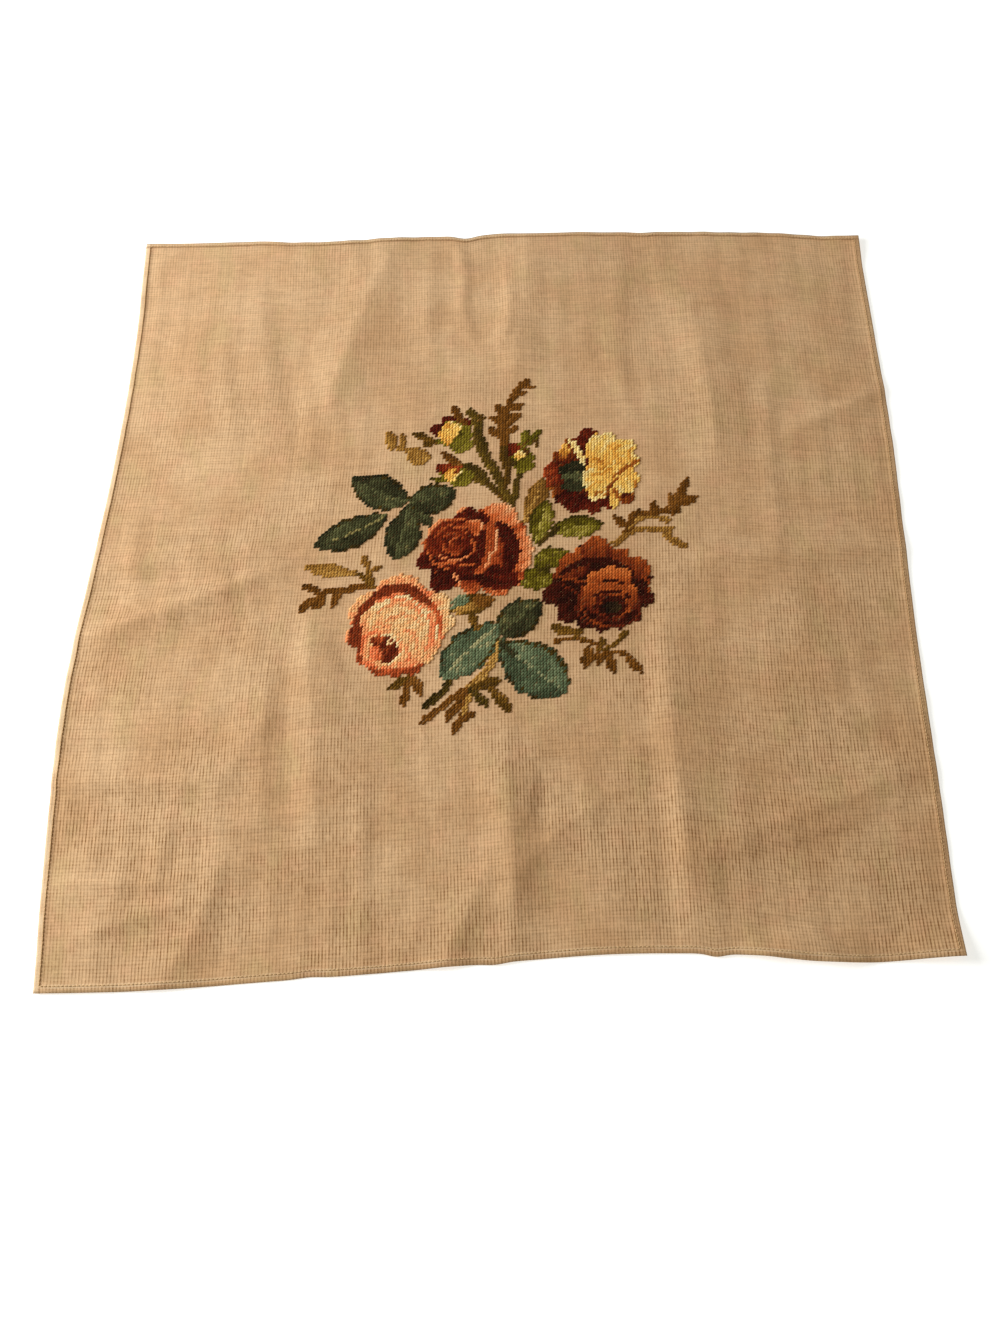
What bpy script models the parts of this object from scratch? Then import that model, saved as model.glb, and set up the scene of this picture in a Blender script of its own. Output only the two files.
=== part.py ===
"""Needlepoint canvas panel, laid out flat after long storage.

A square of double-thread cotton canvas with a narrow turned hem on all four sides. Old storage folds
and creases still stand in it. A spray of roses is worked in wool at the middle, and each flower, bud,
leaf, sprig and stem is a low pad of stitches that lies on the canvas.

The frame: +Z up, +X to the right, +Y to the far edge, origin at the middle of the panel's box, on the
surface that it lies on. Metres.
"""

import math
from collections import namedtuple

import bpy
import numpy as np
from mathutils import Vector
from mathutils.bvhtree import BVHTree
from mathutils.geometry import delaunay_2d_cdt

# Driving dimensions
SIDE = 0.665  # the hemmed square, flat
CLOTH_THICKNESS = 0.0011
HEM_WIDTH = 0.0055
HEM_RISE = 0.0007  # the turned layer on top of the cloth
HEM_STEP = 0.0009  # how wide the hem's inner step is
WOOL_HEIGHT = 0.0012
SEAT_GAP = 0.0003  # between the canvas and the wool
MOTIF_GAP = 0.0006  # between one patch of wool and the next

# Fold shapes
CREST_SOFTNESS = 0.0015
FOLD_POWER = 1.7  # how sharply a fold rises to its crest
FOLD_FADE = 0.25  # the share of a fold's length over which each end dies out
FOLD_STEPS = 24

# How the edges lie, at even stations: left and right from the near corner to the far one, near and far
# from the left corner to the right one
LEFT_EDGE_X = (-0.326, -0.335, -0.340, -0.3335, -0.328, -0.3265, -0.331)
RIGHT_EDGE_X = (0.330, 0.331, 0.331, 0.333, 0.3355, 0.334, 0.332)
NEAR_EDGE_Y = (-0.351, -0.349, -0.343, -0.337, -0.330, -0.324, -0.324, -0.330, -0.326)
FAR_EDGE_Y = (0.333, 0.333, 0.331, 0.334, 0.335, 0.335, 0.334, 0.330, 0.322)

# Folds, seen from above. Each crest runs from start through via to end, and its sides reach out to the
# left and to the right of that way
Fold = namedtuple("Fold", "name start via end height left right")
FOLDS = (
    Fold("middle, near", (0.012, -0.350), (0.014, -0.235), (0.002, -0.140), 0.0048, 0.026, 0.026),
    Fold("middle, far", (0.012, 0.160), (0.023, 0.250), (0.030, 0.355), 0.0048, 0.034, 0.055),
    Fold("right, near", (0.154, -0.350), (0.138, -0.190), (0.138, -0.015), 0.0046, 0.018, 0.075),
    Fold("right, far", (0.186, 0.055), (0.184, 0.165), (0.165, 0.310), 0.0040, 0.026, 0.075),
    Fold("left, near", (-0.126, -0.275), (-0.140, -0.150), (-0.151, -0.035), 0.0044, 0.019, 0.070),
    Fold("left, near, outer", (-0.170, -0.270), (-0.178, -0.160), (-0.188, -0.040), 0.0020, 0.034, 0.020),
    Fold("left, far", (-0.152, 0.095), (-0.127, 0.225), (-0.083, 0.355), 0.0042, 0.034, 0.050),
    Fold("left slant", (-0.360, -0.083), (-0.255, -0.048), (-0.140, 0.004), 0.0040, 0.032, 0.026),
    Fold("left slant, upper", (-0.355, -0.008), (-0.250, -0.006), (-0.160, 0.008), 0.0020, 0.022, 0.016),
    Fold("left, across", (-0.360, -0.193), (-0.270, -0.196), (-0.185, -0.198), 0.0030, 0.022, 0.016),
    Fold("right, across", (0.135, -0.006), (0.235, -0.008), (0.360, 0.002), 0.0034, 0.024, 0.018),
    Fold("right slant, near", (0.125, -0.254), (0.225, -0.225), (0.360, -0.168), 0.0030, 0.024, 0.018),
    Fold("near left slant", (-0.255, -0.370), (-0.212, -0.300), (-0.188, -0.205), 0.0030, 0.036, 0.028),
    Fold("near left, inner", (-0.225, -0.245), (-0.190, -0.165), (-0.145, -0.125), 0.0016, 0.022, 0.022),
    Fold("near middle, left", (-0.046, -0.360), (-0.022, -0.303), (0.004, -0.240), 0.0030, 0.020, 0.020),
    Fold("near middle, right", (0.014, -0.290), (0.045, -0.238), (0.120, -0.194), 0.0022, 0.018, 0.022),
    Fold("far right slant", (0.225, 0.098), (0.290, 0.131), (0.360, 0.164), 0.0020, 0.016, 0.018),
    Fold("near hem hump", (0.165, -0.350), (0.215, -0.322), (0.275, -0.350), 0.0055, 0.018, 0.016),
)

# Broad low rises where the cloth stands off the surface
Swell = namedtuple("Swell", "name x y half_x half_y height")
SWELLS = (
    Swell("far left", -0.245, 0.200, 0.075, 0.110, 0.0020),
    Swell("far middle", 0.075, 0.280, 0.065, 0.090, 0.0026),
    Swell("right", 0.245, -0.100, 0.070, 0.085, 0.0020),
    Swell("far right", 0.270, 0.230, 0.060, 0.080, 0.0016),
    Swell("near left corner", -0.300, -0.300, 0.070, 0.070, 0.0030),
    Swell("near right corner", 0.335, -0.335, 0.060, 0.050, 0.0070),
    Swell("far right corner", 0.335, 0.325, 0.040, 0.040, 0.0035),
    Swell("near middle", 0.085, -0.300, 0.050, 0.055, 0.0018),
)

# A rose is stiff with wool, so folds die out under it: none within STIFF_INNER of its oval, all of them
# from STIFF_OUTER
STIFF_INNER = 1.05
STIFF_OUTER = 1.42

# Grid lines between two creases, as shares of the panel between them
ACROSS_SHARES = (0.0, 0.05, 0.11, 0.20, 0.32, 0.44, 0.56, 0.68, 0.80, 0.89, 0.95)
NEAR_SHARES = (0.0, 0.08, 0.19, 0.32, 0.46, 0.60, 0.74, 0.87)
MIDDLE_SHARES = (0.0, 0.06, 0.14, 0.24, 0.34, 0.44, 0.54, 0.64, 0.74, 0.84, 0.93)
FAR_SHARES = (0.0, 0.035, 0.08, 0.14, 0.21, 0.29, 0.37, 0.45, 0.53, 0.61, 0.69, 0.77, 0.85, 0.93)

# Where the grid's crease lines run: three from near to far (x at even stations), two across (y at even
# stations, left to right)
CREASE_COLUMNS_X = (
    (-0.125, -0.134, -0.146, -0.155, -0.150, -0.127, -0.090),
    (0.012, 0.014, 0.006, 0.004, 0.010, 0.021, 0.029),
    (0.152, 0.140, 0.138, 0.140, 0.186, 0.182, 0.165),
)
CREASE_ROWS_Y = (
    (-0.193, -0.196, -0.200, -0.225, -0.240, -0.240, -0.245, -0.228, -0.180),
    (-0.075, -0.048, -0.010, -0.004, -0.006, -0.007, -0.008, -0.006, 0.000),
)

# Roses and buds: petals are lobes round an oval. Each lobe has its way round in degrees, how far it reaches
# as a share of the half sizes, and the degrees over which it falls off on each side
Rose = namedtuple("Rose", "name x y half_x half_y base colour lobes")
ROSES = (
    Rose(
        "rose_rust", -0.015, 0.002, 0.046, 0.044, 0.80, "rust",
        (
            (0, 1.02, 26), (30, 1.00, 16), (58, 1.10, 24), (105, 0.92, 20), (150, 0.96, 28),
            (173, 0.99, 16), (196, 1.12, 14), (228, 1.14, 16),
            (265, 0.94, 16), (297, 1.09, 18), (316, 1.10, 14), (338, 1.02, 16),
        ),
    ),
    Rose(
        "rose_peach", -0.076, -0.067, 0.045, 0.046, 0.82, "peach",
        (
            (88, 1.00, 30), (30, 1.02, 22), (4, 1.00, 16), (-50, 0.90, 24), (-72, 0.97, 16), (-92, 0.98, 14),
            (-113, 1.00, 16), (-135, 0.98, 18), (195, 1.01, 14), (163, 0.98, 14), (143, 0.94, 16), (110, 0.97, 14),
        ),
    ),
    Rose(
        "rose_maroon", 0.0835, -0.033, 0.045, 0.044, 0.80, "maroon",
        (
            (90, 1.04, 16), (108, 0.92, 14), (135, 0.88, 18), (160, 0.84, 14), (193, 1.04, 16),
            (225, 0.99, 16), (250, 0.92, 14), (272, 0.95, 12), (294, 0.97, 12), (314, 1.00, 14),
            (342, 1.03, 16), (10, 1.00, 14), (28, 1.04, 14), (55, 0.92, 14),
        ),
    ),
    Rose(
        "rose_gold", 0.0805, 0.0755, 0.040, 0.042, 0.82, "gold",
        (
            (92, 1.03, 16), (62, 1.00, 16), (35, 1.14, 16), (12, 1.06, 14), (-15, 1.06, 16),
            (-40, 1.12, 14), (-62, 1.03, 14), (-88, 1.00, 16), (-115, 1.06, 16), (-136, 1.06, 14),
            (-158, 1.00, 16), (182, 1.02, 16), (155, 0.90, 16), (124, 0.90, 14),
        ),
    ),
    Rose(
        "bud_high", -0.037, 0.113, 0.018, 0.019, 0.55, "gold",
        (
            (158, 1.14, 22), (110, 1.10, 20), (80, 1.16, 20), (46, 1.16, 22),
            (-3, 0.95, 24), (-40, 1.15, 24), (-69, 1.07, 18),
        ),
    ),
    Rose(
        "bud_left", -0.034, 0.074, 0.016, 0.0125, 0.62, "gold",
        ((147, 1.17, 22), (105, 1.00, 22), (175, 0.88, 16), (-9, 1.00, 28), (-50, 1.13, 22), (-83, 0.97, 20)),
    ),
    Rose(
        "bud_right", 0.021, 0.089, 0.0115, 0.016, 0.70, "rust",
        (
            (133, 1.22, 20), (95, 1.00, 20), (43, 0.83, 24), (3, 1.03, 18),
            (-36, 1.16, 22), (-85, 1.00, 26), (-148, 0.82, 24), (162, 0.82, 22),
        ),
    ),
)
ROSE_STEP = 7.5  # degrees between two points of the edge
LOBE_FALL = 0.22  # the share that a lobe loses at its spread
LATTICE_SPACING = 0.014  # of the points inside a rose, which let it follow the cloth
LATTICE_REACH = 0.8

# Leaves: from base to tip, with the widest place at a share of the length and a bend of the midrib
Leaf = namedtuple("Leaf", "name base tip width widest bend colour")
LEAVES = (
    Leaf("leaf_teal_1", (-0.072, 0.047), (-0.121, 0.071), 0.033, 0.48, 0.002, "dark_teal"),
    Leaf("leaf_teal_2", (-0.073, 0.046), (-0.033, 0.058), 0.0295, 0.50, -0.002, "dark_teal"),
    Leaf("leaf_teal_3", (-0.090, 0.036), (-0.150, 0.006), 0.0285, 0.52, 0.003, "dark_teal"),
    Leaf("leaf_teal_4", (-0.072, 0.044), (-0.084, -0.007), 0.0305, 0.55, 0.002, "dark_teal"),
    Leaf("leaf_teal_5", (0.004, -0.066), (-0.042, -0.113), 0.0350, 0.52, -0.001, "teal"),
    Leaf("leaf_teal_6", (0.003, -0.077), (0.037, -0.047), 0.0310, 0.52, 0.001, "teal"),
    Leaf("leaf_teal_7", (0.005, -0.084), (0.057, -0.126), 0.0460, 0.52, 0.000, "teal"),
    Leaf("leaf_green_1", (0.034, 0.006), (0.044, 0.047), 0.019, 0.52, 0.001, "green"),
    Leaf("leaf_green_2", (0.046, 0.018), (0.089, 0.023), 0.021, 0.50, 0.001, "green"),
    Leaf("leaf_green_3", (0.032, -0.011), (0.060, -0.002), 0.020, 0.45, -0.001, "green"),
    Leaf("leaf_green_4", (0.051, -0.025), (0.018, -0.025), 0.021, 0.55, 0.001, "green"),
    Leaf("leaf_green_5", (0.000, -0.044), (-0.041, -0.051), 0.020, 0.50, 0.001, "olive"),
    Leaf("leaf_tan", (0.021, 0.019), (0.041, 0.069), 0.018, 0.64, -0.001, "tan"),
)
LEAF_STEPS = 15
LEAF_ROUNDNESS = 0.72
TEETH = 5  # along each side of a leaf
TOOTH_DEPTH = 0.16

# Sprigs and stems, each with its colour
TWIGS = (
    ("sprig_far", "brown"),
    ("sprig_far_left", "tan"),
    ("sprig_left", "olive"),
    ("sprig_right", "brown"),
    ("sprig_near_right", "brown"),
    ("sprig_near", "olive"),
    ("stem_buds", "dark_green"),
    ("stalks_near", "olive"),
    ("stalk_teal", "dark_teal"),
)

# The stems of twigs, buds and leaves: bending strips from start through via to end
Stem = namedtuple("Stem", "name start via end start_width end_width")
STEMS = (
    Stem("sprig_far", (0.008, 0.102), (0.008, 0.126), (0.013, 0.149), 0.0079, 0.0044),
    Stem("sprig_far_left", (-0.064, 0.095), (-0.077, 0.099), (-0.089, 0.103), 0.0053, 0.0044),
    Stem("sprig_left", (-0.100, -0.030), (-0.119, -0.034), (-0.142, -0.038), 0.0053, 0.0048),
    Stem("sprig_left", (-0.101, -0.031), (-0.108, -0.022), (-0.120, -0.019), 0.0040, 0.0035),
    Stem("sprig_left", (-0.099, -0.034), (-0.101, -0.026), (-0.104, -0.016), 0.0057, 0.0044),
    Stem("sprig_right", (0.096, 0.004), (0.104, 0.010), (0.110, 0.020), 0.0044, 0.0044),
    Stem("sprig_right", (0.106, 0.012), (0.127, 0.019), (0.144, 0.011), 0.0044, 0.0044),
    Stem("sprig_right", (0.110, 0.018), (0.124, 0.030), (0.144, 0.025), 0.0044, 0.0048),
    Stem("sprig_right", (0.113, 0.033), (0.132, 0.034), (0.153, 0.041), 0.0032, 0.0035),
    Stem("sprig_near_right", (0.048, -0.082), (0.071, -0.081), (0.092, -0.094), 0.0030, 0.0035),
    Stem("sprig_near_right", (0.089, -0.093), (0.099, -0.092), (0.107, -0.098), 0.0040, 0.0048),
    Stem("sprig_near_right", (0.081, -0.089), (0.094, -0.086), (0.103, -0.077), 0.0026, 0.0032),
    Stem("sprig_near", (-0.066, -0.106), (-0.067, -0.112), (-0.069, -0.120), 0.0053, 0.0040),
    Stem("stem_buds", (0.0150, 0.040), (0.0165, 0.058), (0.0205, 0.074), 0.0052, 0.0042),
    Stem("stem_buds", (0.0140, 0.041), (0.0050, 0.064), (-0.0040, 0.082), 0.0062, 0.0075),
    Stem("stem_buds", (0.0075, 0.060), (0.0105, 0.078), (0.0078, 0.104), 0.0040, 0.0072),
    Stem("stem_buds", (0.0125, 0.041), (0.0025, 0.054), (-0.0080, 0.0655), 0.0038, 0.0044),
    Stem("stem_buds", (0.0000, 0.076), (-0.0130, 0.100), (-0.0160, 0.129), 0.0085, 0.0065),
    Stem("stalks_near", (0.002, -0.080), (-0.003, -0.102), (-0.019, -0.119), 0.0057, 0.0062),
    Stem("stalks_near", (-0.018, -0.119), (-0.036, -0.133), (-0.050, -0.145), 0.0053, 0.0040),
    Stem("stalks_near", (-0.018, -0.117), (-0.024, -0.130), (-0.031, -0.140), 0.0053, 0.0053),
    Stem("stalks_near", (-0.020, -0.122), (-0.021, -0.134), (-0.026, -0.147), 0.0044, 0.0044),
    Stem("stalks_near", (-0.018, -0.121), (-0.011, -0.121), (-0.003, -0.120), 0.0053, 0.0053),
    Stem("stalk_teal", (-0.035, -0.110), (-0.037, -0.119), (-0.043, -0.127), 0.0048, 0.0053),
    Stem("bud_high", (-0.034, 0.100), (-0.046, 0.106), (-0.058, 0.107), 0.0044, 0.0040),
    Stem("bud_right", (0.023, 0.101), (0.032, 0.107), (0.036, 0.101), 0.0044, 0.0037),
    Stem("leaf_green_2", (0.035, 0.005), (0.043, 0.012), (0.051, 0.020), 0.0044, 0.0044),
    Stem("leaf_teal_7", (0.002, -0.072), (0.006, -0.082), (0.015, -0.092), 0.0053, 0.0053),
)
STEM_STEPS = 5

# Small leaves: from base to tip. They belong to the twig, bud or leaf of their name
Blade = namedtuple("Blade", "name base tip width")
BLADES = (
    Blade("sprig_far", (0.006, 0.103), (0.009, 0.143), 0.0112),
    Blade("sprig_far", (0.018, 0.158), (0.029, 0.169), 0.0082),
    Blade("sprig_far", (0.021, 0.161), (0.034, 0.161), 0.0039),
    Blade("sprig_far", (0.011, 0.145), (0.022, 0.163), 0.0073),
    Blade("sprig_far", (0.013, 0.151), (0.026, 0.156), 0.0052),
    Blade("sprig_far", (0.008, 0.136), (0.024, 0.143), 0.0069),
    Blade("sprig_far", (0.008, 0.129), (-0.001, 0.145), 0.0069),
    Blade("sprig_far", (0.009, 0.122), (-0.006, 0.132), 0.0069),
    Blade("sprig_far", (0.008, 0.124), (0.021, 0.133), 0.0069),
    Blade("sprig_far", (0.008, 0.109), (-0.007, 0.120), 0.0077),
    Blade("sprig_far", (0.007, 0.113), (0.019, 0.120), 0.0060),
    Blade("sprig_far_left", (-0.088, 0.096), (-0.092, 0.119), 0.0099),
    Blade("sprig_far_left", (-0.079, 0.097), (-0.081, 0.115), 0.0065),
    Blade("sprig_far_left", (-0.054, 0.090), (-0.077, 0.093), 0.0172),
    Blade("sprig_left", (-0.115, -0.020), (-0.157, -0.013), 0.0125),
    Blade("sprig_left", (-0.102, -0.019), (-0.109, -0.002), 0.0056),
    Blade("sprig_left", (-0.102, -0.018), (-0.092, -0.012), 0.0047),
    Blade("sprig_left", (-0.126, -0.035), (-0.132, -0.050), 0.0069),
    Blade("sprig_left", (-0.136, -0.036), (-0.147, -0.052), 0.0090),
    Blade("sprig_left", (-0.139, -0.038), (-0.158, -0.030), 0.0060),
    Blade("sprig_left", (-0.144, -0.040), (-0.159, -0.055), 0.0069),
    Blade("sprig_right", (0.110, 0.017), (0.098, 0.032), 0.0060),
    Blade("sprig_right", (0.108, 0.017), (0.119, 0.037), 0.0082),
    Blade("sprig_right", (0.131, 0.031), (0.132, 0.046), 0.0060),
    Blade("sprig_right", (0.136, 0.036), (0.155, 0.035), 0.0082),
    Blade("sprig_right", (0.146, 0.034), (0.145, 0.053), 0.0060),
    Blade("sprig_right", (0.149, 0.041), (0.161, 0.066), 0.0077),
    Blade("sprig_right", (0.149, 0.042), (0.169, 0.048), 0.0090),
    Blade("sprig_right", (0.136, 0.013), (0.159, -0.001), 0.0065),
    Blade("sprig_right", (0.134, 0.016), (0.148, 0.018), 0.0052),
    Blade("sprig_near_right", (0.062, -0.081), (0.069, -0.070), 0.0060),
    Blade("sprig_near_right", (0.069, -0.076), (0.043, -0.069), 0.0082),
    Blade("sprig_near_right", (0.075, -0.084), (0.071, -0.106), 0.0086),
    Blade("sprig_near_right", (0.081, -0.087), (0.082, -0.105), 0.0060),
    Blade("sprig_near_right", (0.087, -0.091), (0.095, -0.110), 0.0077),
    Blade("sprig_near_right", (0.101, -0.093), (0.117, -0.110), 0.0073),
    Blade("sprig_near_right", (0.097, -0.081), (0.107, -0.073), 0.0052),
    Blade("sprig_near_right", (0.085, -0.090), (0.084, -0.077), 0.0047),
    Blade("sprig_near", (-0.067, -0.111), (-0.083, -0.122), 0.0065),
    Blade("sprig_near", (-0.068, -0.115), (-0.071, -0.138), 0.0056),
    Blade("sprig_near", (-0.065, -0.108), (-0.057, -0.127), 0.0082),
    Blade("stem_buds", (0.0100, 0.072), (0.0068, 0.108), 0.0100),
    Blade("stem_buds", (-0.006, 0.084), (-0.0170, 0.118), 0.0100),
    Blade("stem_buds", (-0.0165, 0.121), (-0.024, 0.142), 0.0080),
    Blade("stem_buds", (-0.0170, 0.124), (-0.0105, 0.134), 0.0065),
    Blade("stem_buds", (-0.004, 0.060), (-0.0270, 0.085), 0.0135),
    Blade("stalks_near", (-0.045, -0.140), (-0.057, -0.151), 0.0056),
    Blade("stalks_near", (-0.027, -0.131), (-0.038, -0.150), 0.0073),
    Blade("stalks_near", (-0.030, -0.149), (-0.014, -0.142), 0.0056),
    Blade("stalks_near", (-0.025, -0.144), (-0.032, -0.160), 0.0060),
    Blade("stalks_near", (-0.018, -0.122), (-0.003, -0.138), 0.0073),
    Blade("stalks_near", (-0.015, -0.119), (0.006, -0.115), 0.0077),
    Blade("stalks_near", (-0.006, -0.117), (0.014, -0.143), 0.0082),
    Blade("stalk_teal", (-0.039, -0.122), (-0.055, -0.138), 0.0077),
    Blade("bud_high", (-0.028, 0.126), (-0.039, 0.144), 0.0065),
    Blade("bud_high", (-0.052, 0.106), (-0.073, 0.116), 0.0069),
    Blade("bud_high", (-0.048, 0.107), (-0.064, 0.103), 0.0052),
    Blade("bud_left", (-0.027, 0.081), (-0.047, 0.096), 0.0069),
    Blade("bud_left", (-0.036, 0.067), (-0.055, 0.070), 0.0052),
    Blade("bud_right", (0.023, 0.096), (0.027, 0.118), 0.0082),
    Blade("bud_right", (0.024, 0.099), (0.039, 0.118), 0.0065),
    Blade("leaf_teal_4", (-0.070, 0.043), (-0.051, 0.023), 0.0103),
    Blade("leaf_teal_5", (-0.013, -0.068), (-0.021, -0.056), 0.0069),
)
BLADE_STEPS = 5
BLADE_WIDEST = 0.55
MERGE_DISTANCE = 0.00002

CLOTH_ROUGHNESS = 0.95
WOOL_ROUGHNESS = 0.90
SHARP_EDGE = math.radians(35.0)

# Colours as seen, 0 to 255
COLOURS = {
    "canvas": (205, 168, 124),
    "rust": (150, 62, 32),
    "peach": (236, 158, 112),
    "maroon": (84, 26, 20),
    "gold": (226, 176, 88),
    "dark_teal": (44, 64, 56),
    "teal": (60, 94, 84),
    "green": (104, 112, 38),
    "olive": (112, 88, 30),
    "tan": (150, 118, 56),
    "brown": (98, 66, 26),
    "dark_green": (66, 64, 28),
}


def clear_scene():
    for thing in list(bpy.data.objects):
        bpy.data.objects.remove(thing, do_unlink=True)


def linear(value):
    share = value / 255.0
    if share <= 0.04045:
        return share / 12.92
    return ((share + 0.055) / 1.055) ** 2.4


def cloth_material(name, roughness):
    material = bpy.data.materials.new(name)
    material.use_nodes = True
    shader = material.node_tree.nodes["Principled BSDF"]
    shader.inputs["Base Color"].default_value = (*[linear(v) for v in COLOURS[name]], 1.0)
    shader.inputs["Roughness"].default_value = roughness
    shader.inputs["Metallic"].default_value = 0.0
    return material


def smooth(share):
    share = np.clip(share, 0.0, 1.0)
    return share * share * (3.0 - 2.0 * share)


def along(values, share):
    """A smooth curve through evenly spaced values, read at a share of its length."""
    values = np.asarray(values, dtype=float)
    place = np.clip(share, 0.0, 1.0) * (len(values) - 1)
    first = np.clip(np.floor(place).astype(int), 0, len(values) - 2)
    part = place - first
    before = values[np.maximum(first - 1, 0)]
    start = values[first]
    end = values[first + 1]
    after = values[np.minimum(first + 2, len(values) - 1)]
    bend = 2.0 * before - 5.0 * start + 4.0 * end - after
    turn = 3.0 * (start - end) + after - before
    return start + 0.5 * part * (end - before + part * (bend + part * turn))


def on_table(across, out):
    """Where a point of the cloth lies, from its shares across and away from the near left corner."""
    left = along(LEFT_EDGE_X, out)
    right = along(RIGHT_EDGE_X, out)
    near = along(NEAR_EDGE_Y, across)
    far = along(FAR_EDGE_Y, across)
    return left + (right - left) * across, near + (far - near) * out


def bent_line(start, via, end, steps):
    """Points along a curve through three places."""
    share = np.linspace(0.0, 1.0, steps + 1)[:, None]
    start, via, end = (np.array(place, dtype=float) for place in (start, via, end))
    pull = 2.0 * via - 0.5 * (start + end)
    return (1 - share) ** 2 * start + 2 * share * (1 - share) * pull + share**2 * end


def fold_height(fold, x, y):
    """How high one fold stands at each place."""
    line = bent_line(fold.start, fold.via, fold.end, FOLD_STEPS)
    nearest = np.full(x.shape, np.inf)
    side = np.zeros(x.shape)
    share = np.zeros(x.shape)
    for step in range(FOLD_STEPS):
        a = line[step]
        way = line[step + 1] - a
        reach = np.clip(((x - a[0]) * way[0] + (y - a[1]) * way[1]) / way.dot(way), 0.0, 1.0)
        off_x = x - a[0] - reach * way[0]
        off_y = y - a[1] - reach * way[1]
        distance = np.hypot(off_x, off_y)
        closer = distance < nearest
        nearest = np.where(closer, distance, nearest)
        side = np.where(closer, way[0] * off_y - way[1] * off_x, side)
        share = np.where(closer, (step + reach) / FOLD_STEPS, share)
    width = np.where(side > 0.0, fold.left, fold.right)
    soft = np.sqrt(nearest**2 + CREST_SOFTNESS**2) - CREST_SOFTNESS
    slope = np.clip(1.0 - soft / width, 0.0, 1.0) ** FOLD_POWER
    ends = smooth(share / FOLD_FADE) * smooth((1.0 - share) / FOLD_FADE)
    return fold.height * slope * ends


def swell_height(swell, x, y):
    away = ((x - swell.x) / swell.half_x) ** 2 + ((y - swell.y) / swell.half_y) ** 2
    return swell.height * np.clip(1.0 - away, 0.0, 1.0) ** 2


def lift(x, y):
    """How far the cloth's underside stands off the surface."""
    x = np.asarray(x, dtype=float)
    y = np.asarray(y, dtype=float)
    height = sum(fold_height(fold, x, y) for fold in FOLDS)
    for rose in ROSES:
        away = np.hypot((x - rose.x) / rose.half_x, (y - rose.y) / rose.half_y)
        height = height * smooth((away - STIFF_INNER) / (STIFF_OUTER - STIFF_INNER))
    return height + sum(swell_height(swell, x, y) for swell in SWELLS)


def grid_lines(creases, shares):
    """Shares of the side where the grid's lines run: the hem's at both ends, the rest between creases."""
    hem = HEM_WIDTH / SIDE
    foot = (HEM_WIDTH + HEM_STEP) / SIDE
    knots = [foot, *creases, 1.0 - foot]
    lines = [0.0, hem]
    for start, end, parts in zip(knots[:-1], knots[1:], shares):
        lines.extend(start + (end - start) * part for part in parts)
    lines.extend([1.0 - foot, 1.0 - hem, 1.0])
    return np.array(lines)


def crease_columns(out):
    """The shares across of the three near-to-far creases, at a share out from the near edge."""
    left = along(LEFT_EDGE_X, out)
    right = along(RIGHT_EDGE_X, out)
    return [(along(crease, out) - left) / (right - left) for crease in CREASE_COLUMNS_X]


def crease_rows(across):
    """The shares out of the two creases that run across, at a share across from the left edge."""
    near = along(NEAR_EDGE_Y, across)
    far = along(FAR_EDGE_Y, across)
    return [(along(crease, across) - near) / (far - near) for crease in CREASE_ROWS_Y]


def cloth_grid():
    """Shares across and out of every grid point, its lines drawn along the main creases."""
    column_shares = (ACROSS_SHARES,) * (len(CREASE_COLUMNS_X) + 1)
    row_shares = (NEAR_SHARES, MIDDLE_SHARES, FAR_SHARES)
    rows = len(grid_lines(crease_rows(0.5), row_shares))
    columns = len(grid_lines(crease_columns(0.5), column_shares))
    across = np.array([grid_lines(crease_columns(row / (rows - 1)), column_shares) for row in range(rows)])
    out = np.array([grid_lines(crease_rows(col / (columns - 1)), row_shares) for col in range(columns)]).T
    return across, out


def hem_rise(across, out):
    """The turned layer's height: all of it within the hem, and none past its step."""
    edge = np.minimum.reduce([across, 1.0 - across, out, 1.0 - out]) * SIDE
    return np.where(edge < HEM_WIDTH + 0.5 * HEM_STEP, HEM_RISE, 0.0)


def make_solid(name, points, faces, material):
    mesh = bpy.data.meshes.new(name)
    mesh.from_pydata(points, [], faces)
    mesh.materials.append(material)
    mesh.shade_smooth()
    mesh.set_sharp_from_angle(angle=SHARP_EDGE)
    solid = bpy.data.objects.new(name, mesh)
    bpy.context.scene.collection.objects.link(solid)
    return solid


def make_canvas(middle):
    """The sheet: the same grid above and below, with a wall round its edge."""
    across, out = cloth_grid()
    x, y = on_table(across, out)
    under = lift(x, y)
    over = under + CLOTH_THICKNESS + hem_rise(across, out)
    rows, columns = x.shape
    layer = rows * columns
    points = [
        (x[r, c] - middle[0], y[r, c] - middle[1], height[r, c])
        for height in (over, under)
        for r in range(rows)
        for c in range(columns)
    ]
    faces = []
    for r in range(rows - 1):
        for c in range(columns - 1):
            a = r * columns + c
            corners = (a, a + 1, a + columns + 1, a + columns)
            for one, two, three in ((0, 1, 2), (0, 2, 3)):
                top = (corners[one], corners[two], corners[three])
                faces.append(top)
                faces.append(tuple(corner + layer for corner in reversed(top)))
    rim = list(range(columns))
    rim += [r * columns + columns - 1 for r in range(1, rows)]
    rim += [(rows - 1) * columns + c for c in range(columns - 2, -1, -1)]
    rim += [r * columns for r in range(rows - 2, 0, -1)]
    for here, there in zip(rim, rim[1:] + rim[:1]):
        faces.append((here, here + layer, there + layer))
        faces.append((here, there + layer, there))
    return make_solid("canvas", points, faces, cloth_material("canvas", CLOTH_ROUGHNESS))


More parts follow.
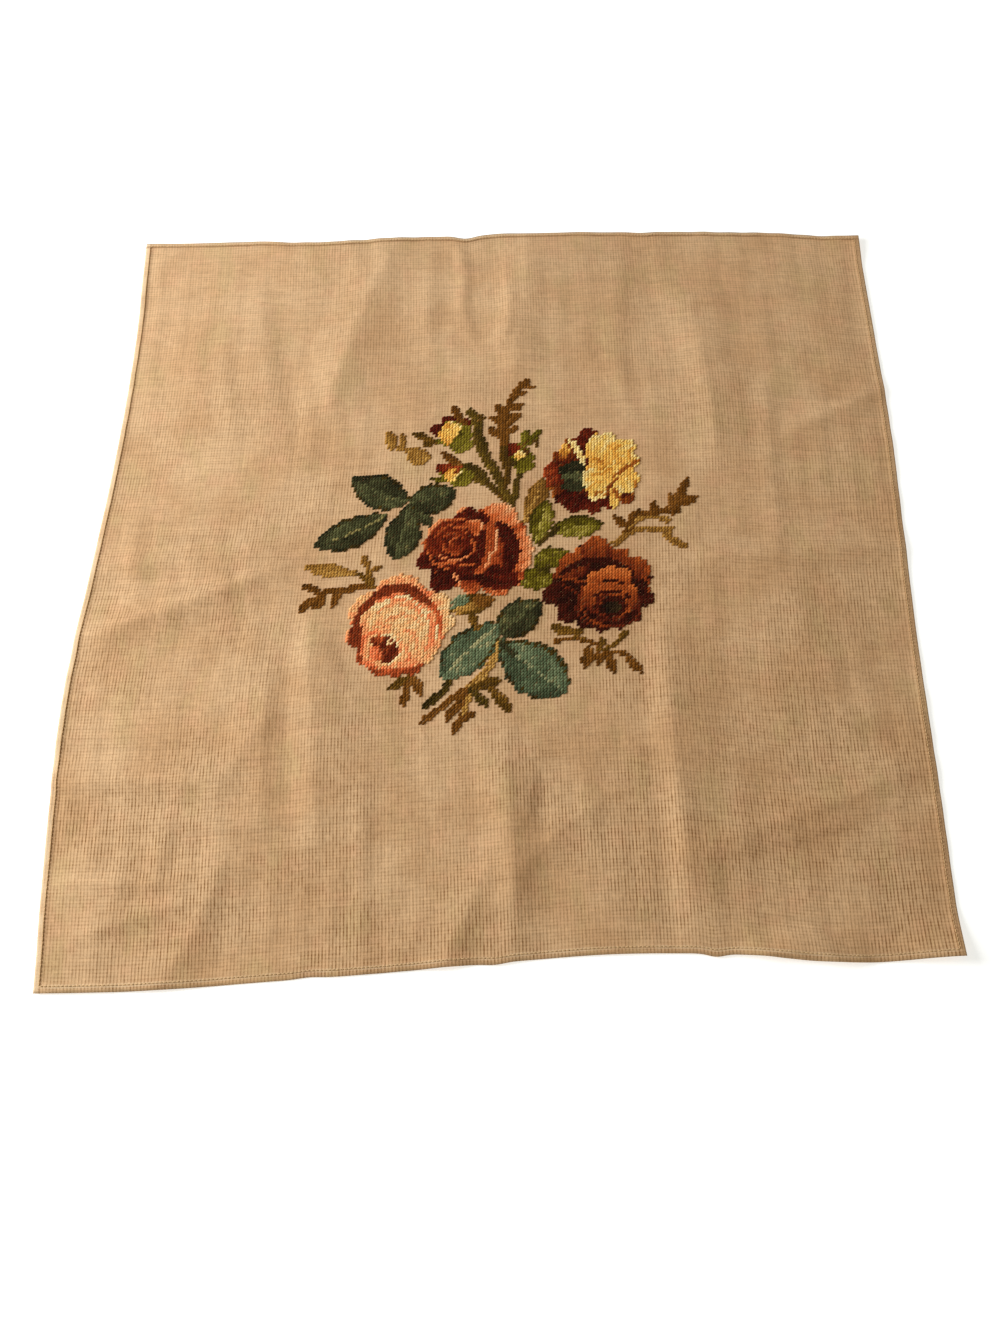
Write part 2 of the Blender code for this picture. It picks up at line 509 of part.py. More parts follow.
def rose_outline(rose):
    """At each way round, the petal that reaches furthest."""
    turn = np.arange(0.0, 360.0, ROSE_STEP)
    reach = np.full(len(turn), rose.base)
    for way, length, spread in rose.lobes:
        off = (turn - way + 180.0) % 360.0 - 180.0
        reach = np.maximum(reach, length * (1.0 - LOBE_FALL * (off / spread) ** 2))
    x = rose.x + rose.half_x * reach * np.cos(np.radians(turn))
    y = rose.y + rose.half_y * reach * np.sin(np.radians(turn))
    return np.stack([x, y], axis=1)


def left_of(line):
    """Unit steps to the left of a line, at each of its points."""
    way = np.gradient(line, axis=0)
    way = way / np.linalg.norm(way, axis=1)[:, None]
    return np.stack([-way[:, 1], way[:, 0]], axis=1)


def bowed_line(start, end, bend, steps):
    """A line that bows to the left of its way by the bend."""
    start = np.array(start)
    end = np.array(end)
    way = (end - start) / np.linalg.norm(end - start)
    via = 0.5 * (start + end) + bend * np.array([-way[1], way[0]])
    return bent_line(start, via, end, steps)


def strip_outline(line, half_width):
    """A strip along a line, out on its right and back on its left, with half widths along it."""
    side = left_of(line) * np.broadcast_to(half_width, len(line))[:, None]
    return np.concatenate([line - side, (line + side)[::-1]])


def leaf_outline(base, tip, width, widest, bend, steps, tooth):
    """A leaf with a point at both ends, widest at a share of its length, with saw teeth on its sides."""
    line = bowed_line(base, tip, bend, steps)
    share = np.linspace(0.0, 1.0, steps + 1)
    half = 0.5 * width * np.sin(math.pi * share ** (math.log(0.5) / math.log(widest))) ** LEAF_ROUNDNESS
    half = half * (1.0 + tooth * (share * TEETH % 1.0 - 0.5))
    side = left_of(line) * half[:, None]
    return np.concatenate([line[:1], (line - side)[1:-1], line[-1:], (line + side)[-2:0:-1]])


def small_parts(name):
    """The stems and small leaves that belong to a twig, bud or leaf."""
    outlines = []
    for stem in STEMS:
        if stem.name == name:
            width = np.linspace(stem.start_width, stem.end_width, STEM_STEPS + 1)
            line = bent_line(stem.start, stem.via, stem.end, STEM_STEPS)
            outlines.append(strip_outline(line, 0.5 * width))
    for blade in BLADES:
        if blade.name == name:
            outlines.append(
                leaf_outline(blade.base, blade.tip, blade.width, BLADE_WIDEST, 0.0, BLADE_STEPS, 0.0)
            )
    return outlines


def grown(outline, distance):
    """The outline moved outwards; it runs counter-clockwise."""
    way = np.roll(outline, -1, axis=0) - np.roll(outline, 1, axis=0)
    way = way / np.linalg.norm(way, axis=1)[:, None]
    return outline + distance * np.stack([way[:, 1], -way[:, 0]], axis=1)


def largest_patch(triangles):
    """The largest group of triangles that are joined edge to edge."""
    group = list(range(len(triangles)))

    def root(item):
        while group[item] != item:
            item = group[item]
        return item

    seen = {}
    for number, corners in enumerate(triangles):
        for a, b in zip(corners, corners[1:] + corners[:1]):
            edge = (min(a, b), max(a, b))
            if edge in seen:
                group[root(number)] = root(seen[edge])
            seen[edge] = number
    roots = [root(number) for number in range(len(triangles))]
    best = max(sorted(set(roots)), key=roots.count)
    return [corners for corners, mine in zip(triangles, roots) if mine == best]


def inner_points(outline):
    """Points on a coarse lattice well inside an outline, so that a wide patch follows the cloth."""
    low = outline.min(axis=0)
    high = outline.max(axis=0)
    middle = 0.5 * (low + high)
    half = 0.5 * (high - low)
    counts = np.floor(half / LATTICE_SPACING).astype(int)
    steps = [
        LATTICE_SPACING * np.array([i, j])
        for i in range(-counts[0], counts[0] + 1)
        for j in range(-counts[1], counts[1] + 1)
    ]
    return [middle + step for step in steps if np.linalg.norm(step / half) < LATTICE_REACH]


def patch(outlines, cutters, inner):
    """Triangles that fill the outlines together, and stay clear of every cutter."""
    points = []
    loops = []
    for outline in [*outlines, *cutters]:
        loops.append(list(range(len(points), len(points) + len(outline))))
        points.extend(outline)
    points.extend(inner)
    corners, _, triangles, _, _, sources = delaunay_2d_cdt(
        [Vector(point) for point in points], [], loops, 1, MERGE_DISTANCE, True
    )
    inside = [
        list(triangle)
        for triangle, source in zip(triangles, sources)
        if source and max(source) < len(outlines)
    ]
    return np.array([tuple(corner) for corner in corners]), largest_patch(inside)


def top_finder(solid):
    """A function that gives the height of a solid's upper side at a place."""
    mesh = solid.data
    tree = BVHTree.FromPolygons([v.co for v in mesh.vertices], [p.vertices[:] for p in mesh.polygons])
    high = Vector((0.0, 0.0, 1.0))

    def top_at(x, y):
        return tree.ray_cast(Vector((x, y, high.z)), -high)[0].z

    return top_at


def make_pad(name, corners, triangles, top_at, material):
    """A patch of stitches, as thick as the wool, that follows the cloth under it."""
    used = sorted({corner for triangle in triangles for corner in triangle})
    place = {corner: number for number, corner in enumerate(used)}
    layer = len(used)
    seats = [(x, y, top_at(x, y) + SEAT_GAP) for x, y in corners[used]]
    points = seats + [(x, y, z + WOOL_HEIGHT) for x, y, z in seats]
    faces = []
    edges = set()
    for triangle in triangles:
        a, b, c = (place[corner] for corner in triangle)
        faces.append((c, b, a))
        faces.append((a + layer, b + layer, c + layer))
        edges.update(((a, b), (b, c), (c, a)))
    for a, b in sorted(edges):
        if (b, a) not in edges:
            faces.append((a, b, b + layer))
            faces.append((a, b + layer, a + layer))
    return make_solid(name, points, faces, material)


def motifs():
    """Each motif's name, colour and outlines, those on top first."""
    for rose in ROSES:
        yield rose.name, rose.colour, [rose_outline(rose), *small_parts(rose.name)]
    for leaf in LEAVES:
        line = leaf_outline(
            leaf.base, leaf.tip, leaf.width, leaf.widest, leaf.bend, LEAF_STEPS, TOOTH_DEPTH
        )
        yield leaf.name, leaf.colour, [line, *small_parts(leaf.name)]
    for name, colour in TWIGS:
        yield name, colour, small_parts(name)


def make_wool(canvas, middle):
    """Every motif, each cut back where one above it lies."""
    top_at = top_finder(canvas)
    materials = {}
    cutters = []
    for name, colour, outlines in motifs():
        if colour not in materials:
            materials[colour] = cloth_material(colour, WOOL_ROUGHNESS)
        inner = inner_points(outlines[0]) if name.startswith("rose") else []
        corners, triangles = patch(outlines, cutters, inner)
        make_pad(name, corners - middle, triangles, top_at, materials[colour])
        cutters.extend(grown(outline, MOTIF_GAP) for outline in outlines)


def middle_of_outline():
    """The middle of the box round the cloth, which is the part's origin."""
    x, y = on_table(*cloth_grid())
    return 0.5 * (x.min() + x.max()), 0.5 * (y.min() + y.max())


def build_panel():
    clear_scene()
    middle = middle_of_outline()
    canvas = make_canvas(middle)
    make_wool(canvas, middle)


build_panel()
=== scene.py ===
"""Needlepoint canvas panel, laid out on a pale table after long storage.

A hemmed square of double-thread cotton canvas, with a spray of roses worked on it in wool, one slanting
stitch to each mesh. The file follows the panel as it is made: the canvas, the hem's machine stitching,
then the wool work, flower by flower.
"""

import math
from collections import namedtuple

import bpy
import numpy as np
from mathutils import Euler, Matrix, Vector
from mathutils.bvhtree import BVHTree


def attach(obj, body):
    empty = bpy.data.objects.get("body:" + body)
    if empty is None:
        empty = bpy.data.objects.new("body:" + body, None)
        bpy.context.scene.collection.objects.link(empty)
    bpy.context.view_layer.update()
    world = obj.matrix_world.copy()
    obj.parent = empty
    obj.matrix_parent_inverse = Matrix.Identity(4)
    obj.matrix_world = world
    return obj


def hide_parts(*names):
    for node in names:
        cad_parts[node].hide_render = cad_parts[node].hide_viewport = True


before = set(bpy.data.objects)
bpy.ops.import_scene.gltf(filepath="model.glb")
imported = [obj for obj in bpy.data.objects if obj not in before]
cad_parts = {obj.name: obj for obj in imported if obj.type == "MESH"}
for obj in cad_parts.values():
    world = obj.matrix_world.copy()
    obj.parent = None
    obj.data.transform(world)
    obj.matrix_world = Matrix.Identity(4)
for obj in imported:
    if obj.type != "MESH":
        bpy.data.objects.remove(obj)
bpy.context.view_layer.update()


# Camera
# Held by hand above the near edge, looking steeply down at the panel and a little turned.
PICTURE_HEIGHT = 1333.0  # pixels
FOCAL_PIXELS = 1131.0
SENSOR = 36.0
CAMERA_PLACE = (0.0364, -0.4384, 0.8194)
CAMERA_TILT = math.radians(22.834)  # away from straight down
CAMERA_TURN = math.radians(4.924)
CAMERA_ROLL = math.radians(-5.071)

camera = bpy.data.objects.new("camera", bpy.data.cameras.new("camera"))
bpy.context.scene.collection.objects.link(camera)
bpy.context.scene.camera = camera
camera.data.sensor_width = SENSOR
camera.data.lens = SENSOR * FOCAL_PIXELS / PICTURE_HEIGHT
camera.location = CAMERA_PLACE
turn = Euler((0.0, 0.0, CAMERA_TURN)).to_matrix()
tilt = Euler((CAMERA_TILT, 0.0, 0.0)).to_matrix()
roll = Euler((0.0, 0.0, CAMERA_ROLL)).to_matrix()
camera.rotation_euler = (turn @ tilt @ roll).to_euler()


# The canvas
# A square of stiffened cotton canvas, woven with its threads in pairs, ten pairs to the inch each way.
# Its edges are turned under and sewn, and it has lain folded for years, so its creases still stand.
SIDE = 0.665
MESHES = 262  # pairs of threads, from edge to edge
CLOTH_THICKNESS = 0.0011
GRID_LINES = 214
RIM_STEPS = 400
MM = 1000.0  # to a metre: folds, swells, ovals and motifs are given in millimetres

# The hem's upper side over the cloth's underside, from the edge inwards: a rounded fold, the turned
# layer, then a step down. The sheet has a grid line at each of these places.
HEM_PLACES = (0.0, 0.0004, 0.0012, 0.0028, 0.0044, 0.0053, 0.0060, 0.0070)
HEM_HEIGHTS = (0.0006, 0.0012, 0.0016, 0.0017, 0.0017, 0.0015, 0.0013, 0.0011)
HEM_UNDERCUT = 0.0003  # how far the fold's lower edge rounds up

# How the edges lie, at even stations: left and right from the near corner to the far one, near and far
# from the left corner to the right one
LEFT_EDGE_X = (-0.326, -0.335, -0.340, -0.3335, -0.328, -0.3265, -0.331)
RIGHT_EDGE_X = (0.330, 0.331, 0.331, 0.333, 0.3355, 0.334, 0.332)
NEAR_EDGE_Y = (-0.351, -0.349, -0.343, -0.337, -0.330, -0.324, -0.324, -0.330, -0.326)
FAR_EDGE_Y = (0.333, 0.333, 0.331, 0.334, 0.335, 0.335, 0.334, 0.330, 0.322)

# Small kinks where creases run out over the near and far edges: the share across, the width as a share,
# and how far the edge shifts away from the viewer
NEAR_KINKS = ((0.738, 0.012, -0.0020), (0.500, 0.014, -0.0012), (0.300, 0.016, 0.0010))
FAR_KINKS = (
    (0.455, 0.017, -0.0034), (0.505, 0.030, 0.0014), (0.170, 0.020, 0.0008), (0.700, 0.020, -0.0009),
)
KINK_FADE = 9  # how soon they fade inwards

# Folds: a crest from start through via to end, its height, and how far its sides reach to left and right
FOLD_STEPS = 24
FOLD_FADE = 0.32
CREST_SOFTNESS = 1.5
LEFT_POWER = 1.15  # 1 is a straight slope, more is a hollow one
RIGHT_POWER = 1.9
Fold = namedtuple("Fold", "name start via end height left right")
FOLDS = (
    Fold("middle, near", (12, -350), (14, -235), (2, -140), 4.8, 26, 26),
    Fold("middle, far", (12, 160), (23, 250), (30, 355), 4.8, 34, 55),
    Fold("right, near", (154, -350), (138, -190), (138, -15), 4.6, 18, 75),
    Fold("right, far", (186, 55), (184, 165), (165, 310), 4, 26, 75),
    Fold("left, near", (-126, -275), (-140, -150), (-151, -35), 3.6, 19, 70),
    Fold("left, near, outer", (-170, -270), (-178, -160), (-188, -40), 1.6, 34, 20),
    Fold("left, far", (-152, 95), (-127, 225), (-83, 355), 4.2, 34, 50),
    Fold("left slant", (-360, -83), (-255, -48), (-140, 4), 3.2, 32, 30),
    Fold("left slant, upper", (-355, -8), (-250, -6), (-160, 8), 2, 22, 16),
    Fold("left, across", (-360, -193), (-270, -196), (-185, -198), 3, 22, 16),
    Fold("right, across", (135, -6), (235, -8), (360, 2), 3.4, 24, 18),
    Fold("right slant, near", (125, -254), (225, -225), (360, -168), 2.1, 24, 24),
    Fold("near left slant", (-255, -370), (-212, -300), (-188, -205), 3, 36, 28),
    Fold("near left, inner", (-225, -245), (-190, -165), (-145, -125), 1.6, 22, 22),
    Fold("near middle, left", (-46, -360), (-22, -303), (4, -240), 3, 20, 20),
    Fold("near middle, right", (14, -290), (45, -238), (120, -194), 1.7, 18, 24),
    Fold("far right slant", (225, 98), (290, 131), (360, 164), 2, 16, 18),
    Fold("near hem hump", (165, -350), (215, -322), (275, -350), 5.5, 18, 16),
)

# Finer creases, too slight for the solid
CREASES = (
    Fold("far, notch", (-35, 326), (-35, 308), (-31, 288), 1.2, 8, 4),
    Fold("right, low slant", (151, -254), (226, -240), (316, -208), 1, 10, 6),
    Fold("near left, low", (-328, -325), (-258, -299), (-205, -283), 1.3, 12, 9),
    Fold("near left, upper", (-325, -272), (-261, -274), (-205, -272), 1.8, 11, 8),
    Fold("far right, across", (150, 250), (220, 252), (290, 248), 0.9, 10, 8),
    Fold("near middle, bent", (18, -236), (31, -192), (26, -148), 1.3, 16, 9),
    Fold("far middle, bent left", (-6, 192), (-29, 245), (-22, 322), 1.4, 10, 12),
    Fold("far middle, bent right", (-4, 198), (13, 242), (4, 312), 1.2, 9, 8),
    Fold("left slant, crest", (-335, -75), (-255, -47), (-150, 0), 1.4, 8, 26),
    Fold("right slant, crest", (130, -252), (225, -224), (335, -178), 0.7, 8, 26),
    Fold("far right slant, crest", (232, 102), (290, 131), (342, 156), 1, 8, 20),
    Fold("left, low across", (-300, -232), (-240, -228), (-170, -236), 1.4, 10, 9),
    Fold("near left, upright", (-246, -300), (-243, -235), (-230, -170), 1.2, 10, 16),
    Fold("near, upright", (-98, -330), (-96, -250), (-104, -160), 1, 10, 16),
    Fold("right, upper", (152, 22), (240, 20), (329, 18), 0.9, 10, 8),
    Fold("far, right of middle", (113, 322), (110, 214), (113, 110), 1.3, 10, 24),
    Fold("far, left of middle", (-68, 320), (-63, 246), (-57, 175), 1.1, 12, 18),
    Fold("far left, outer", (-222, 310), (-208, 207), (-194, 100), 1, 12, 20),
    Fold("right, outer", (244, 300), (232, 93), (228, -75), 1.1, 12, 24),
)

# Broad low rises
Swell = namedtuple("Swell", "name x y half_x half_y height")
SWELLS = (
    Swell("far left", -245, 200, 75, 110, 2),
    Swell("far middle", 75, 280, 65, 90, 2.6),
    Swell("right", 245, -100, 70, 85, 2),
    Swell("far right", 270, 230, 60, 80, 1.6),
    Swell("near left corner", -300, -300, 70, 70, 3),
    Swell("near right corner", 335, -335, 60, 50, 7),
    Swell("far right corner", 335, 325, 40, 40, 3.5),
    Swell("near middle", 85, -300, 50, 55, 1.8),
)

# Small rumples between the folds: the length of a wave, the way it runs in degrees, its bend and start
RUMPLES = (
    (0.023, 4.0, 1.3, 0.2),
    (0.037, -9.0, 2.1, 1.7),
    (0.029, 88.0, 1.8, 0.9),
    (0.048, 99.0, 1.2, 2.4),
    (0.055, 40.0, 1.5, 4.0),
)
RUMPLE_HEIGHT = 0.00011
RUMPLE_BEND_LENGTH = 0.17
RUMPLE_PATCH = (0.23, 0.31)

# The roses and buds hold the cloth flat under them: folds die out between these two sizes of their ovals
STIFF_INNER = 1.05
STIFF_OUTER = 1.42
Oval = namedtuple("Oval", "x y half_x half_y")
FLOWER_OVALS = {
    "rose_rust": Oval(-15, 2, 46, 44),
    "rose_peach": Oval(-76, -67, 45, 46),
    "rose_maroon": Oval(83.5, -33, 45, 44),
    "rose_gold": Oval(80.5, 75.5, 40, 42),
    "bud_high": Oval(-37, 113, 18, 19),
    "bud_left": Oval(-34, 74, 16, 12.5),
    "bud_right": Oval(21, 89, 11.5, 16),
}


def smooth(share):
    share = np.clip(share, 0.0, 1.0)
    return share * share * (3.0 - 2.0 * share)


def along(values, share):
    """A smooth curve through evenly spaced values, read at a share of its length."""
    values = np.asarray(values, dtype=float)
    place = np.clip(share, 0.0, 1.0) * (len(values) - 1)
    first = np.clip(np.floor(place).astype(int), 0, len(values) - 2)
    part = place - first
    before = values[np.maximum(first - 1, 0)]
    start = values[first]
    end = values[first + 1]
    after = values[np.minimum(first + 2, len(values) - 1)]
    bend = 2.0 * before - 5.0 * start + 4.0 * end - after
    turn = 3.0 * (start - end) + after - before
    return start + 0.5 * part * (end - before + part * (bend + part * turn))


def kinked(kinks, across):
    return sum(depth * np.exp(-(((across - place) / width) ** 2)) for place, width, depth in kinks)


def laid_out(across, out):
    """Where a point of the cloth lies, from its shares across and away from the near left corner."""
    left = along(LEFT_EDGE_X, out)
    right = along(RIGHT_EDGE_X, out)
    near = along(NEAR_EDGE_Y, across) + kinked(NEAR_KINKS, across) * (1.0 - out) ** KINK_FADE
    far = along(FAR_EDGE_Y, across) + kinked(FAR_KINKS, across) * out**KINK_FADE
    return left + (right - left) * across, near * (1.0 - out) + far * out


def bent_line(places, steps):
    """Points along a curve through three places, or along a straight line between two."""
    share = np.linspace(0.0, 1.0, steps + 1)[:, None]
    start, *between, end = np.array(places, dtype=float)
    via = between[0] if between else 0.5 * (start + end)
    pull = 2.0 * via - 0.5 * (start + end)
    return (1 - share) ** 2 * start + 2 * share * (1 - share) * pull + share**2 * end


def beside_line(line, x, y):
    """How far each place is from a line, on which side (left is above 0), and at what share of it."""
    steps = len(line) - 1
    nearest = np.full(x.shape, np.inf)
    side = np.zeros(x.shape)
    share = np.zeros(x.shape)
    for step in range(steps):
        a = line[step]
        way = line[step + 1] - a
        reach = np.clip(((x - a[0]) * way[0] + (y - a[1]) * way[1]) / way.dot(way), 0.0, 1.0)
        off_x = x - a[0] - reach * way[0]
        off_y = y - a[1] - reach * way[1]
        distance = np.hypot(off_x, off_y)
        closer = distance < nearest
        nearest = np.where(closer, distance, nearest)
        side = np.where(closer, way[0] * off_y - way[1] * off_x, side)
        share = np.where(closer, (step + reach) / steps, share)
    return nearest, side, share


def fold_height(fold, x, y):
    """How high one fold stands at each place, all in millimetres."""
    nearest, side, share = beside_line(bent_line((fold.start, fold.via, fold.end), FOLD_STEPS), x, y)
    width = np.where(side > 0.0, fold.left, fold.right)
    soft = np.sqrt(nearest**2 + CREST_SOFTNESS**2) - CREST_SOFTNESS
    slope = np.clip(1.0 - soft / width, 0.0, 1.0) ** np.where(side > 0.0, LEFT_POWER, RIGHT_POWER)
    ends = smooth(share / FOLD_FADE) * smooth((1.0 - share) / FOLD_FADE)
    return fold.height * slope * ends


def rumples(x, y):
    """Soft waves that come and go in patches."""
    height = 0.0
    for wave, turn, bend, start in RUMPLES:
        turn = math.radians(turn)
        run = x * math.cos(turn) + y * math.sin(turn)
        beside = y * math.cos(turn) - x * math.sin(turn)
        swing = start + bend * np.sin(2.0 * math.pi * beside / RUMPLE_BEND_LENGTH + start)
        patch = np.sin(2.0 * math.pi * (beside / RUMPLE_PATCH[0] + run / RUMPLE_PATCH[1]) + 2.0 * start)
        height = height + (1.0 + patch) * (1.0 + np.sin(2.0 * math.pi * run / wave + swing))
    return RUMPLE_HEIGHT * height


def lift(x, y):
    """How far the cloth's underside stands off the table."""
    height = MM * rumples(x, y)
    x, y = MM * x, MM * y
    height = height + sum(fold_height(fold, x, y) for fold in FOLDS + CREASES)
    for oval in FLOWER_OVALS.values():
        away = np.hypot((x - oval.x) / oval.half_x, (y - oval.y) / oval.half_y)
        height = height * smooth((away - STIFF_INNER) / (STIFF_OUTER - STIFF_INNER))
    for swell in SWELLS:
        away = ((x - swell.x) / swell.half_x) ** 2 + ((y - swell.y) / swell.half_y) ** 2
        height = height + swell.height * np.clip(1.0 - away, 0.0, 1.0) ** 2
    return height / MM


edge_share = np.linspace(0.0, 1.0, RIM_STEPS)
rim_x = np.concatenate([laid_out(edge, edge_share)[0] for edge in (0.0, 1.0)])
rim_y = np.concatenate([laid_out(edge_share, edge)[1] for edge in (0.0, 1.0)])
MIDDLE_X = 0.5 * (rim_x.min() + rim_x.max())  # the frame's origin, on the cloth's own plan
MIDDLE_Y = 0.5 * (rim_y.min() + rim_y.max())


def in_frame(across, out, height):
    """A point of the cloth in the frame, at a height over the cloth's underside."""
    x, y = laid_out(across, out)
    return np.stack([x - MIDDLE_X, y - MIDDLE_Y, lift(x, y) + height], axis=-1)


def new_piece(name, points, faces):
    mesh = bpy.data.meshes.new(name)
    mesh.from_pydata(points.tolist(), [], faces)
    mesh.shade_smooth()
    piece = bpy.data.objects.new(name, mesh)
    bpy.context.scene.collection.objects.link(piece)
    return piece


def map_corners(piece, label, corners):
    """Gives a piece a map, corner by corner."""
    layer = piece.data.uv_layers.new(name=label)
    layer.data.foreach_set("uv", corners.astype(np.float32).reshape(-1))


def make_cloth():
    """The sheet: one grid above and one below, closed round the edge, finer along the hem."""
    edge = np.array(HEM_PLACES) / SIDE
    inner = np.linspace(edge[-1], 1.0 - edge[-1], GRID_LINES - 2 * len(edge) + 2)[1:-1]
    lines = np.concatenate([edge, inner, 1.0 - edge[::-1]])
    across, out = np.meshgrid(lines, lines)
    inset = np.minimum.reduce([across, 1.0 - across, out, 1.0 - out]) * SIDE
    over = in_frame(across, out, np.interp(inset, HEM_PLACES, HEM_HEIGHTS))
    under = in_frame(across, out, np.interp(inset, (0.0, HEM_PLACES[2]), (HEM_UNDERCUT, 0.0)))
    layer = len(lines) ** 2
    number = np.arange(layer).reshape(len(lines), len(lines))
    top = np.stack([number[:-1, :-1], number[:-1, 1:], number[1:, 1:], number[1:, :-1]], axis=-1)
    top = top.reshape(-1, 4)
    rim = np.concatenate([number[0, :-1], number[:-1, -1], number[-1, :0:-1], number[:0:-1, 0]])
    after = np.roll(rim, -1)
    wall = np.stack([rim, rim + layer, after + layer, after], axis=-1)
    faces = np.concatenate([top, top[:, ::-1] + layer, wall])
    piece = new_piece("canvas_cloth", np.concatenate([over, under]).reshape(-1, 3), faces.tolist())
    threads = np.stack([across, out], axis=-1).reshape(-1, 2)
    map_corners(piece, "threads", np.concatenate([threads, threads])[faces.reshape(-1)])
    return piece


def feed(socket, value):
    """Sets a socket to a value, or links it to the socket that feeds it."""
    if isinstance(value, bpy.types.NodeSocket):
        socket.id_data.links.new(value, socket)
    else:
        socket.default_value = value


def node_on(kind, inputs, **settings):
    """What a new node puts out. Its inputs are fed by number or name, in the tree that they come from."""
    tree = next(value.id_data for value in inputs.values() if isinstance(value, bpy.types.NodeSocket))
    node = tree.nodes.new(kind)
    for label, setting in settings.items():
        setattr(node, label, setting)
    for label, value in inputs.items():
        feed(node.inputs[label], value)
    return node.outputs


def calc(operation, *values):
    return node_on("ShaderNodeMath", dict(enumerate(values)), operation=operation)[0]


def plus(first, second):
    return calc("ADD", first, second)


def minus(first, second):
    return calc("SUBTRACT", first, second)


def times(first, second):
    return calc("MULTIPLY", first, second)


def ramp(value, low, high, low_result=0.0, high_result=1.0):
    """A value carried smoothly from one range to another."""
    given = dict(enumerate((value, low, high, low_result, high_result)))
    return node_on("ShaderNodeMapRange", given, interpolation_type="SMOOTHSTEP")[0]


def mixed(share, first, second, way="MIX"):
    """Two colours mixed by a share."""
    given = {0: share, 6: first, 7: second}
    return node_on("ShaderNodeMix", given, data_type="RGBA", blend_type=way)[2]


def joined(*values):
    """A vector made of up to three values."""
    return node_on("ShaderNodeCombineXYZ", dict(enumerate(values)))[0]


def axes(place):
    return node_on("ShaderNodeSeparateXYZ", {0: place})


def toned(colour, tone):
    """A colour made paler or darker, alike in red, green and blue."""
    return mixed(1.0, colour, joined(tone, tone, tone), "MULTIPLY")


def noise(place, scale, detail=2.0):
    return node_on("ShaderNodeTexNoise", {"Vector": place, "Scale": scale, "Detail": detail})["Fac"]


def blotches(place, scale, detail, *steps):
    """Noise of one scale and detail, carried by a ramp with the steps that follow."""
    return ramp(noise(place, scale, detail), *steps)


def stretched(place, across, lengthwise):
    """A place scaled by one number across and another along."""
    given = {0: place, 1: (across, lengthwise, 1.0)}
    return node_on("ShaderNodeVectorMath", given, operation="MULTIPLY")[0]


def bump(height, distance, strength):
    given = {"Height": height, "Distance": distance, "Strength": strength}
    return node_on("ShaderNodeBump", given)["Normal"]


def linear(colour):
    """A colour as seen, 0 to 255, as the shader wants it."""
    share = np.asarray(colour, dtype=float) / 255.0
    return np.where(share <= 0.04045, share / 12.92, ((share + 0.055) / 1.055) ** 2.4)


def paint(colour):
    return (*linear(colour), 1.0)


def new_group(name, inputs, outputs):
    """A shader node group with named sockets, and its input and output nodes."""
    group = bpy.data.node_groups.new(name, "ShaderNodeTree")
    for label, kind, value in inputs:
        socket = group.interface.new_socket(name=label, in_out="INPUT", socket_type=kind)
        if value is not None:
            socket.default_value = value
    for label in outputs:
        group.interface.new_socket(name=label, in_out="OUTPUT", socket_type="NodeSocketFloat")
    return group, group.nodes.new("NodeGroupInput").outputs, group.nodes.new("NodeGroupOutput").inputs


def place_group(group, **values):
    """The group in a material, with its inputs set by name; a name's underscores are spaces."""
    given = {label.replace("_", " "): value for label, value in values.items()}
    return node_on("ShaderNodeGroup", given, node_tree=group)


COARSER = 0.16  # the slubs' fineness, as a share of the fibres'


def make_fibre_group():
    """Loose fibres and slubs on spun thread: small changes of tone, and a little fuzz in the surface."""
    group, given, result = new_group(
        "Spun fibre",
        (("Place", "NodeSocketVector", None), ("Fineness", "NodeSocketFloat", 1500.0)),
        ("Tone", "Fuzz"),
    )
    fine = noise(given["Place"], given["Fineness"], 3.0)
    coarse = noise(given["Place"], times(given["Fineness"], COARSER))
    both = plus(times(fine, 0.5), coarse)
    feed(result["Tone"], minus(both, 0.75))  # each noise comes to a half on average
    feed(result["Fuzz"], fine)
    return group


GAP_SOFTNESS = 0.07  # of a mesh
OVER_UNDER = 0.25  # how far a thread rises and falls as it passes over and under
THREAD_STEP = 3.7  # how unlike two threads side by side are
SLUBS_PER_MESH = 0.11


def make_weave_group():
    """Threads woven in pairs: how high the thread on top is, how far a place is in the gaps between
    the pairs, and the tone that each thread has along its length."""
    group, given, result = new_group(
        "Paired weave",
        (
            ("Mesh", "NodeSocketVector", None),
            ("Thread apart", "NodeSocketFloat", 0.155),
            ("Thread half", "NodeSocketFloat", 0.165),
        ),
        ("Height", "Warp gap", "Weft gap", "Thread tone"),
    )
    counts = axes(given["Mesh"])
    heights = []
    tones = []
    for label, mine, other, over in (("Warp gap", 0, 1, 1.0), ("Weft gap", 1, 0, -1.0)):
        count = counts[mine]
        away = calc("ABSOLUTE", minus(calc("FRACT", count), 0.5))
        off = calc("ABSOLUTE", minus(away, given["Thread apart"]))
        off = calc("DIVIDE", off, given["Thread half"])
        ridge = calc("SQRT", calc("MAXIMUM", minus(1.0, times(off, off)), 0.0))
        outer = plus(given["Thread apart"], given["Thread half"])
        feed(result[label], ramp(away, minus(outer, GAP_SOFTNESS), outer))
        phase = plus(minus(counts[other], 0.5), calc("FLOOR", count))
        wave = times(calc("COSINE", times(phase, math.pi)), OVER_UNDER * over)
        heights.append(times(ridge, plus(wave, 1.0 - OVER_UNDER)))
        thread = calc("FLOOR", times(count, 2.0))
        run = times(counts[other], SLUBS_PER_MESH)
        tones.append(noise(joined(times(thread, THREAD_STEP), run), 1.0, 3.0))
    feed(result["Height"], calc("MAXIMUM", *heights))
    warp_on_top = calc("GREATER_THAN", *heights)
    tone = node_on("ShaderNodeMix", {0: warp_on_top, 2: tones[1], 3: tones[0]})[0]
    feed(result["Thread tone"], minus(tone, 0.5))
    return group


